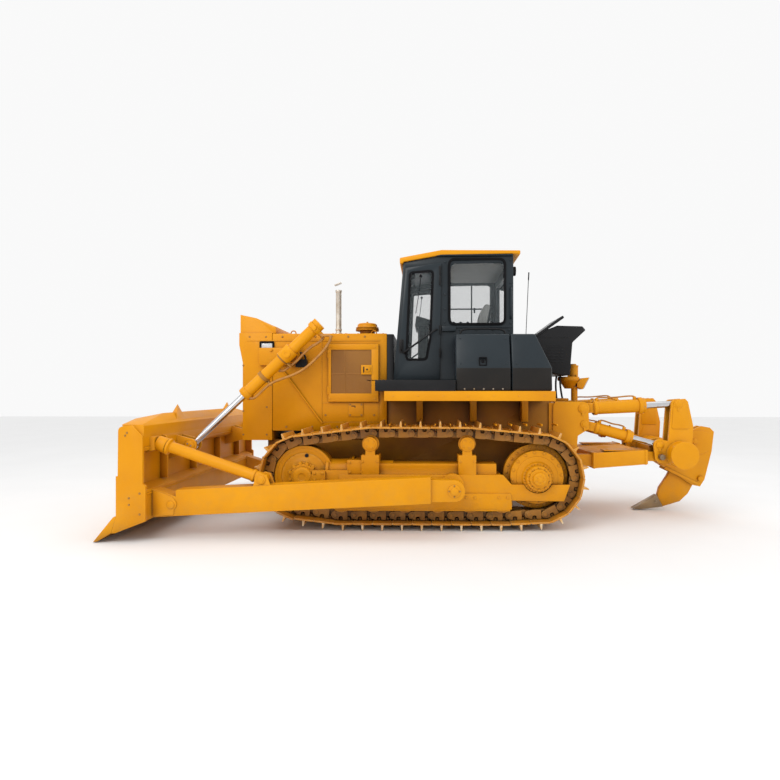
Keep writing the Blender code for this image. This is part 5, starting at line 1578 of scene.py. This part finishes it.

# side boxes and tank: near-black bands on the lower faces as painted shade, lock plates, handles and bolts
boxTrim = {
    "outer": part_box("side_box_left")[0][1], "break": 1.874, "low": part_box("side_box_left")[0][2],
    "lock": (0.439, 0.531, 1.895, 1.995)
}
boxX0, boxX1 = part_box("side_box_left")[0][0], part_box("side_box_left")[1][0]
tankX1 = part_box("fuel_tank")[1][0]
for side, label in sides:
    outer = abs(boxTrim["outer"])
    low, high = boxTrim["low"] + 0.004, boxTrim["break"] - 0.006
    # near-black bands laid over the lower faces: painted shade
    shadebands = [sideBlock(
        "skirt", side, boxX0 + 0.006, boxX1 - 0.006, outer - 0.001, outer + 0.004, low, high, 0.003
    )]
    shadebands.append(sideBlock(
        "skirt", side, boxX1 + 0.020, tankX1 - 0.012, outer - 0.001, outer + 0.004, low, high, 0.003
    ))
    done("box_shadebands_" + label, shadebands, "machine", shadebandPaint)
    x0, x1, z0, z1 = boxTrim["lock"]
    lean = 0.11 / 0.401
    def onLean(z, off=0.0):
        return side * (outer - (z - boxTrim["break"]) * lean + off)
    lock = frameRing(
        "lock", softened([(x0, z0), (x1, z0), (x1, z1), (x0, z1)], 0.008), 0.012, side * (outer - 0.035),
        side * (outer + 0.002)
    )
    tongue = sideBlock(
        "tongue", side, x0 + 0.03, x1 - 0.03, outer - 0.040, outer - 0.008, z0 + 0.03, z1 - 0.03, 0.004
    )
    done("lock_plate_" + label, [lock, tongue], "machine", rubber)
    heads = [
        (x, onLean(z), z)
        for x in (boxX0 + 0.05, boxX1 - 0.05)
        for z in (1.92, 2.22)
    ] + [(boxX1 + 0.07, onLean(z), z) for z in (1.92, 2.22)]
    finished(bolts("box_bolts_" + label, heads, (0, side, lean), 0.009, 0.006), "machine", slate)
    finished(
        bolts(
            "skirt_bolts_" + label,
            [(boxX0 + 0.10 + 0.11 * i, side * (outer + 0.003), low + 0.02) for i in range(5)], (0, side, 0),
            0.007, 0.006
        ),
        "machine", worn
    )
    rail = pipe(
        "box_rail_" + label,
        [
            (boxX0 + 0.06, side * (outer - 0.20), 2.27), (boxX0 + 0.06, side * (outer - 0.20), 2.33),
            (boxX0 + 0.12, side * (outer - 0.20), 2.345), (boxX1 - 0.10, side * (outer - 0.20), 2.345),
            (boxX1 - 0.04, side * (outer - 0.20), 2.33), (boxX1 - 0.04, side * (outer - 0.20), 2.27)
        ],
        0.012
    )
    finished(rail, "machine", black)
aerial = [
    bar("mast", (1.080, -0.60, 2.20), (1.120, -0.60, 3.09), 0.0045, 8),
    bar("base", (1.076, -0.60, 2.17), (1.086, -0.60, 2.30), 0.014, 12),
    bar("tip", (1.1165, -0.60, 3.00), (1.1215, -0.60, 3.10), 0.008, 8)
]
done("aerial", aerial, "machine", rubber)
cap = [turned(
    "cap", (1.02, 0.62, 2.26), (1.02, 0.62, 9),
    [(0, 0.055), (0.02, 0.055), (0.024, 0.068), (0.055, 0.066), (0.060, 0.058), (0.062, 0.01)], 24, 0.002
)]
cap.append(block("grip", (0.965, 0.606, 2.315), (1.075, 0.634, 2.338), 0.005))
done("filler_cap", cap, "machine", black)

# rear housing: louvres, side vents and a rim
fins = [
    block(
        "fin", (driveX + 0.46 + 0.002 * i, -0.27, 1.90 + 0.045 * i),
        (driveX + 0.60 + 0.002 * i, 0.27, 1.912 + 0.045 * i), 0.003
    )
    for i in range(7)
]
# the side vents are black stripes on the housing: painted shade in the slots
fins += [
    sideBlock(
        "vent", side, driveX + 0.28, driveX + 0.50, 0.3385, 0.3475, 1.98 + 0.04 * i, 1.992 + 0.04 * i, 0.003
    )
    for i in range(6)
    for side in (-1, 1)
]
fins += [
    sideBlock("rim", side, driveX + 0.20, driveX + 0.56, 0.338, 0.345, 2.30, 2.312, 0.003)
    for side in (-1, 1)
]
done("housing_fins", fins, "machine", black)

# platform: bolts, ribs under the deck's edge and treads on the floor
deckX0, deckY0, deckZ0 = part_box("platform")[0]
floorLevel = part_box("seat")[0][2]
for side, label in sides:
    edge = abs(deckY0)
    finished(
        bolts(
            "deck_bolts_" + label,
            [(deckX0 + 0.10 + 0.29 * i, side * (edge - 0.001), 1.545) for i in range(7)], (0, side, 0),
            0.009, 0.007
        ),
        "machine", yellow
    )
    ribs = [
        sideBlock(
            "rib", side, deckX0 + 0.06 + 0.175 * i, deckX0 + 0.072 + 0.175 * i, edge - 0.30, edge - 0.02,
            deckZ0 - 0.022, deckZ0 + 0.002, 0.003
        )
        for i in range(12)
    ]
    done("deck_ribs_" + label, ribs, "machine", yellow)
    treads = [
        sideBlock(
            "tread", side, -0.86 + 0.045 * i, -0.84 + 0.045 * i, edge - 0.33, edge - 0.03,
            floorLevel - 0.004, floorLevel + 0.004, 0.002
        )
        for i in range(14)
    ]
    done("floor_treads_" + label, treads, "machine", black)

# blade: ribs, seams, lifting eyes and bolts
bladeTrim = {
    "front": idlerX - 1.829, "back": idlerX - 1.545, "half": 1.8625, "crest": 1.345, "sideCrest": 1.240
}
front, back, half = bladeTrim["front"], bladeTrim["back"], bladeTrim["half"]
armY = trackY + shoeHalf + 0.32
ribs = [
    block("rib", (back - 0.10, y - 0.012, 0.60), (back - 0.012, y + 0.012, 0.935), 0.004)
    for y in (-1.25, -0.42, 0.42, 1.25)
]
ribs += [
    block("seam", (back - 0.002, -half + 0.03, 0.990), (back + 0.010, half - 0.03, 1.004), 0.004),
    block("seam", (back + 0.018, -half + 0.03, 0.50), (back + 0.030, half - 0.03, 0.516), 0.004)
]
for side, label in sides:
    ribs.append(pipe(
        "eye",
        [
            (back - 0.006, side * 1.42, 1.10), (back + 0.045, side * 1.42, 1.10),
            (back + 0.060, side * 1.42, 1.07), (back + 0.045, side * 1.42, 1.04),
            (back - 0.006, side * 1.42, 1.04)
        ],
        0.011
    ))
done("blade_ribs", ribs, "blade", yellow)
plough = [(front - 0.086, y, 0.1775) for y in [-1.74 + 0.2175 * i for i in range(17)]]
finished(bolts("edge_bolts", plough, (-0.733, 0, 0.68), 0.019, 0.007, False), "blade", worn)
for side, label in sides:
    spots = [(front + 0.14, side * half, z) for z in (0.40, 0.47)] + [(back - 0.03, side * half, z) for z in (0.30, 0.52)] + [
        (front + 0.10, side * half, 1.13), (front + 0.12, side * half, 1.16)
    ]
    finished(bolts("wear_bolts_" + label, spots, (0, side, 0), 0.009, 0.006), "blade", linkPaint)
    # hinge caps between blade and push arm, and the pin plates of the brace and the trunnion
    hinge = turned(
        "arm_pin", (back + 0.235, side * (armY + 0.098), 0.375), (back + 0.235, side * 9, 0.375),
        [(0, 0.060), (0.012, 0.058), (0.016, 0.040), (0.030, 0.038), (0.032, 0.010)], 24, 0.002
    )
    cheek = plate(
        "cheek",
        softened(
            [
                (back + 0.034, 0.245), (back + 0.262, 0.262), (back + 0.270, 0.44), (back + 0.20, 0.475),
                (back + 0.034, 0.535)
            ],
            0.02
        ),
        side * (armY + 0.099), side * (armY + 0.111), "Y", 0.004
    )
    done("arm_hinge_" + label, [hinge, cheek], "blade", yellow)
    x, z = idlerX - 0.34, 0.64
    foot = turned(
        "foot_pin", (x, side * (armY + 0.083), z), (x, side * 9, z),
        [(0, 0.048), (0.012, 0.046), (0.016, 0.030), (0.026, 0.028)], 20, 0.002
    )
    keeper = sideBlock(
        "keeper", side, x - 0.018, x + 0.062, armY + 0.084, armY + 0.096, z - 0.085, z - 0.055, 0.003
    )
    done("brace_pin_" + label, [foot, keeper], "blade", yellow)
    hx, hz = back + 0.0453, 1.03
    slope = (z - hz) / (x - hx)
    long = math.hypot(1, slope)
    def onBrace(reach):
        return (hx + reach / long, side * armY, hz + reach * slope / long)
    rings = [turned(
        "ring", onBrace(0.112), onBrace(3),
        [(0, 0.060), (0.002, 0.092), (0.026, 0.092), (0.030, 0.075), (0.038, 0.066)], 26, 0.001
    )]
    rings.append(turned(
        "ring", onBrace(1.10), onBrace(3), [(0, 0.052), (0.004, 0.070), (0.030, 0.070), (0.034, 0.052)], 26,
        0.001
    ))
    done("brace_rings_" + label, rings, "blade", yellow)
    tx, tz = idlerX + 1.745, 0.522
    disc = turned(
        "cap", (tx, side * (armY + 0.058), tz), (tx, side * 9, tz),
        [(0, 0.072), (0.012, 0.070), (0.016, 0.044), (0.034, 0.040), (0.038, 0.016)], 28, 0.002
    )
    finished(disc, "blade", yellow)
    disc.name = "trunnion_plate_" + label
    finished(
        bolts(
            "trunnion_bolts_" + label, ringOf((tx, side * (armY + 0.070), tz), 0.057, 4, side),
            (0, side, 0), 0.008, 0.008
        ),
        "blade", linkPaint
    )
print("stage: blade finished")

# ripper: pin caps, gland rings, bolts, weld seams and the shank's pins
rip = {
    "y": 0.50, "clevis": 0.094, "arm": (0.465, 0.722), "beam": (1.655, 0.778), "tiltEye": (1.87, 1.44),
    "liftHead": (0.70, 1.185), "liftEye": (1.642, 0.925), "cross": (1.887, 0.81), "crossHalf": 0.75
}
def onRear(spot):
    return driveX + spot[0], spot[1]


tiltHead = (
    rip["tiltEye"][0] - rip["beam"][0] + rip["arm"][0], rip["tiltEye"][1] - rip["beam"][1] + rip["arm"][1]
)
def pinCaps(name, spot, body, radius, both=True):
    x, z = onRear(spot)
    pieces = []
    for side in (-1, 1):
        for face in ((1, -1) if both else (1,)):
            y = side * rip["y"] + face * side * rip["clevis"]
            pieces.append(turned(
                "cap", (x, y, z), (x, y + side * face, z),
                [
                    (0, radius + 0.014), (0.010, radius + 0.012), (0.013, radius - 0.004),
                    (0.020, radius - 0.008)
                ],
                20, 0.001
            ))
            pieces.append(block(
                "keeper", (x - 0.012, min(y, y + side * face * 0.012), z - radius - 0.045),
                (x + 0.012, max(y, y + side * face * 0.012), z - radius + 0.004), 0.003
            ))
    return done(name, pieces, body, yellow)


pinCaps("bracket_arm_caps", rip["arm"], "machine", 0.045)
pinCaps("bracket_tilt_caps", tiltHead, "machine", 0.045)
pinCaps("bracket_lift_caps", rip["liftHead"], "machine", 0.035)
pinCaps("beam_tilt_caps", rip["tiltEye"], "ripper_beam", 0.045)
pinCaps("beam_lift_caps", rip["liftEye"], "ripper_beam", 0.035)
ripperCylinders = {
    "ripper_tilt": {"head": tiltHead, "eye": rip["tiltEye"], "radius": 0.085, "rod": 0.042, "gland": 0.80},
    "ripper_lift": {
        "head": rip["liftHead"], "eye": rip["liftEye"], "radius": 0.07, "rod": 0.036, "gland": 0.64
    },
}
for kind, made in ripperCylinders.items():
    radius, rodRadius, gland = made["radius"], made["rod"], made["gland"]
    (hx, hz), (ex, ez) = onRear(made["head"]), onRear(made["eye"])
    reach = math.dist((hx, hz), (ex, ez))
    aim = Vector(((ex - hx) / reach, 0, (ez - hz) / reach))
    rise = Vector((-aim.z, 0, aim.x))
    for side, label in sides:
        def at(length, off=0.0, across=0.0):
            return tuple(Vector((hx, side * (rip["y"] + across), hz)) + aim * length + rise * off)
        pieces = [
            turned(
                "gland", at(gland - 0.085), at(gland + 1),
                [
                    (0, radius + 0.001), (0.004, radius + 0.020), (0.050, radius + 0.022),
                    (0.054, radius + 0.013), (0.084, radius + 0.012)
                ],
                30, 0.001
            ),
            turned(
                "nose", at(gland - 0.001), at(gland + 1),
                [
                    (0, radius - 0.01), (0.006, radius - 0.012), (0.010, rodRadius + 0.010),
                    (0.016, rodRadius + 0.004)
                ],
                26, 0.001
            ),
            turned(
                "head", at(0.155), at(gland + 1),
                [
                    (0, radius - 0.004), (0.004, radius + 0.010), (0.045, radius + 0.010),
                    (0.050, radius + 0.001)
                ],
                30, 0.001
            ),
            bar("port", at(gland - 0.115, radius - 0.01), at(gland - 0.115, radius + 0.034), 0.022, 10),
            bar("port", at(0.205, radius - 0.01), at(0.205, radius + 0.034), 0.022, 10),
            block(
                "saddle",
                at(
                    gland * 0.55 - 0.012, radius - 0.002, -0.03
                )[:1] + (min(side * 0.47, side * 0.53),) + (at(gland * 0.55, radius - 0.004)[2],),
                at(gland * 0.55 + 0.012)[:1] + (max(side * 0.47, side * 0.53),) + (at(
                    gland * 0.55, radius + 0.014
                )[2],),
                0.003
            ),
        ]
        done(kind + "_trim_" + label, pieces, kind + "_barrel_" + label, yellow)
        spots = [
            tuple(
                Vector(at(gland - 0.031))
                + (rise * math.cos(a) + Vector((0, math.sin(a), 0))) * (radius + 0.006)
            )
            for a in (0.4 + math.pi / 3 * i for i in range(6))
        ]
        finished(
            bolts(kind + "_bolts_" + label, spots, tuple(aim), 0.009, 0.008), kind + "_barrel_" + label,
            worn
        )
        line = pipe(
            "line",
            [
                at(gland - 0.115, radius + 0.030), at(gland - 0.13, radius + 0.050),
                at(gland * 0.60, radius + 0.034), at(0.34, radius + 0.034), at(0.215, radius + 0.048),
                at(0.205, radius + 0.030)
            ],
            0.010
        )
        finished(line, kind + "_barrel_" + label, linePaint)
        line.name = kind + "_line_" + label
cx, cz = onRear(rip["cross"])
seams = []
for side in (-1, 1):
    y = side * rip["crossHalf"]
    seams.append(turned(
        "rim", (cx, y - side * 0.012, cz), (cx, y + side, cz),
        [(0, 0.166), (0.004, 0.171), (0.014, 0.171), (0.016, 0.152), (0.0165, 0.10)], 40, 0.001
    ))
    for off in (-0.112, 0.112):
        seams.append(turned(
            "weld", (cx, side * (0.50 + off) - 0.008, cz), (cx, 9, cz),
            [(0, 0.1655), (0.004, 0.172), (0.012, 0.172), (0.016, 0.1655)], 40
        ))
    for sign in (-1, 1):
        y0 = side * (0.50 + sign * 0.0955)
        seams.append(plate(
            "doubler",
            softened([(cx - 0.10, 1.13), (cx + 0.125, 1.13), (cx + 0.085, 1.46), (cx - 0.078, 1.46)], 0.03),
            y0 - 0.0055, y0 + 0.0055, "Y", 0.003
        ))
done("cross_beam_seams", seams, "ripper_beam", yellow)
shankBits = []
for side in (-1, 1):
    y = side * 0.080
    shankBits.append(turned(
        "pin", (cx + 0.42, y - side * 0.003, 0.935), (cx + 0.42, side * 9, 0.935),
        [(0, 0.052), (0.012, 0.050), (0.014, 0.036), (0.040, 0.034), (0.042, 0.010)], 24, 0.002
    ))
    shankBits.append(turned(
        "pin", (cx + 0.50, y - side * 0.003, 0.43), (cx + 0.50, side * 9, 0.43),
        [(0, 0.038), (0.030, 0.036), (0.032, 0.010)], 20, 0.002
    ))
    shankBits.append(plate(
        "doubler",
        softened(
            [
                (cx + 0.34, 0.70), (cx + 0.62, 0.80), (cx + 0.645, 1.03), (cx + 0.53, 1.08),
                (cx + 0.34, 1.06)
            ],
            0.03
        ),
        y - side * 0.001, y + side * 0.010, "Y", 0.003
    ))
    shankBits.append(plate(
        "brow",
        softened([(cx + 0.02, 0.560), (cx + 0.46, 0.345), (cx + 0.475, 0.375), (cx + 0.04, 0.590)], 0.008),
        y - side * 0.001, y + side * 0.012, "Y", 0.003
    ))
done("shank_pocket_trim", shankBits, "ripper_beam", yellow)
tooth = [bar("tooth_pin", (cx - 0.075, -0.060, 0.115), (cx - 0.075, 0.060, 0.115), 0.016, 12)]
done("tooth_pin", tooth, "ripper_beam", worn)
armBits = []
for side in (-1, 1):
    for x in (driveX + 0.815, driveX + 1.455):
        armBits.append(sideBlock(
            "collar", side, x - 0.010, x + 0.010, 0.365, 0.636, 0.632 if x < driveX + 1 else 0.682,
            0.832 if x < driveX + 1 else 0.870, 0.004
        ))
    armBits.append(sideBlock("step", side, driveX + 0.95, driveX + 1.35, 0.415, 0.585, 0.848, 0.862, 0.003))
done("ripper_arm_trim", armBits, "ripper_arm", yellow)
bracketBits = [
    block("rib", (driveX + 0.36, y - 0.012, 1.30), (driveX + 0.80, y + 0.012, 1.405), 0.004)
    for y in (-0.24, 0.0, 0.24)
]
bracketBits += [block("block", (driveX + 0.42, -0.22, 1.476), (driveX + 0.60, 0.10, 1.510), 0.008)]
done("bracket_ribs", bracketBits, "machine", yellow)
finished(
    bolts(
        "bracket_bolts",
        [
            (driveX + 0.3785, y, z)
            for y in (-0.30, -0.15, 0.0, 0.15, 0.30)
            for z in (0.58, 0.80, 1.02, 1.24)
        ],
        (1, 0, 0), 0.016, 0.014
    ),
    "machine", worn
)

# post head: lamp lens, elbows and lines to the valve
px = driveX + 0.73
postBits = [turned(
    "band", (px - 0.08, 0, 1.752), (px - 0.08, 0, 9),
    [(0, 0.1405), (0.004, 0.146), (0.036, 0.146), (0.040, 0.1405)], 36, 0.001
)]
postBits += [
    bar(
        "stud", (px - 0.08 + 0.118 * math.cos(a), 0.118 * math.sin(a), 1.795),
        (px - 0.08 + 0.118 * math.cos(a), 0.118 * math.sin(a), 1.822), 0.010, 6
    )
    for a in (0.3 + math.pi / 3 * i for i in range(6))
]
postBits.append(turned(
    "neck", (px - 0.02, 0, 1.93), (px - 0.02, 0, 9),
    [(0, 0.071), (0.010, 0.074), (0.024, 0.073), (0.028, 0.05), (0.045, 0.045), (0.047, 0.01)], 28, 0.001
))
done("post_trim", postBits, "machine", yellow)
for index, (y, top) in enumerate(((-0.055, 1.93), (0.055, 1.90))):
    line = pipe(
        f"post_line_{index}",
        [
            (px - 0.06, y, top), (px - 0.12, y * 1.2, top + 0.05), (px - 0.19, y * 1.5, top + 0.02),
            (px - 0.23, y * 2.0, 1.80), (px - 0.22, y * 2.6, 1.62), (px - 0.20, y * 3.0, 1.50)
        ],
        0.013
    )
    finished(line, "machine", black)
done(
    "post_lens",
    [plate(
        "lens", [(px + 0.100, 1.640), (px + 0.112, 1.634), (px + 0.193, 1.782), (px + 0.181, 1.788)],
        -0.065, 0.065, "Y", 0.003
    )],
    "machine", lampGlass
)
print("stage: ripper finished")


# floor, light and camera

clearSelection()
bpy.ops.mesh.primitive_plane_add(size=60, location=(0, 0, -0.002))
ground = bpy.context.object
ground.name = "studio_floor"
floorMade, floorTree, floorShader, floorLinks = newMaterial("studio_floor")
floorCoords = addNode(floorTree, "TexCoord").outputs["Object"]
floorTone = mixed(
    floorTree, ranged(floorTree, noiseOf(floorTree, floorCoords, 0.8), 0.3, 0.7), (0.86, 0.86, 0.86),
    (0.88, 0.88, 0.88)
)
floorLinks.new(floorTone, floorShader.inputs["Base Color"])
floorShader.inputs["Roughness"].default_value = 0.8
ground.data.materials.append(floorMade)

world = bpy.data.worlds.new("studio")
bpy.context.scene.world = world
world.use_nodes = True
world.node_tree.nodes["Background"].inputs["Color"].default_value = (1.0, 1.0, 1.0, 1)
world.node_tree.nodes["Background"].inputs["Strength"].default_value = 0.95


def softLight(name, place, aim, size, power, colour=(1, 1, 1)):
    clearSelection()
    bpy.ops.object.light_add(type="AREA", location=place)
    light = bpy.context.object
    light.name = name
    light.data.size = size
    light.data.energy = power
    light.data.color = colour
    light.rotation_euler = (Vector(aim) - Vector(place)).to_track_quat("-Z", "Y").to_euler()


softLight("key_light", (-4.5, -7.5, 7.5), (0, 0, 1.2), 5.0, 300, (1.0, 0.98, 0.95))
softLight("top_light", (0.5, 0.5, 9.0), (0, 0, 1.0), 6.0, 100)
softLight("rear_fill", (7.0, -5.0, 4.0), (1.0, 0, 1.0), 4.0, 50, (0.95, 0.98, 1.0))
softLight("far_fill", (1.0, 8.0, 5.0), (0, 0, 1.0), 5.0, 60)

clearSelection()
bpy.ops.object.camera_add(location=(-0.171, -7.714, 1.576), rotation=(math.radians(90), 0, 0.02254))
camera = bpy.context.object
camera.data.lens = 25.95
camera.data.sensor_width = 36
camera.data.shift_x = -0.0302
camera.data.shift_y = 0.0042
bpy.context.scene.camera = camera
bpy.context.scene.view_settings.view_transform = "Standard"

print("stage: finished")
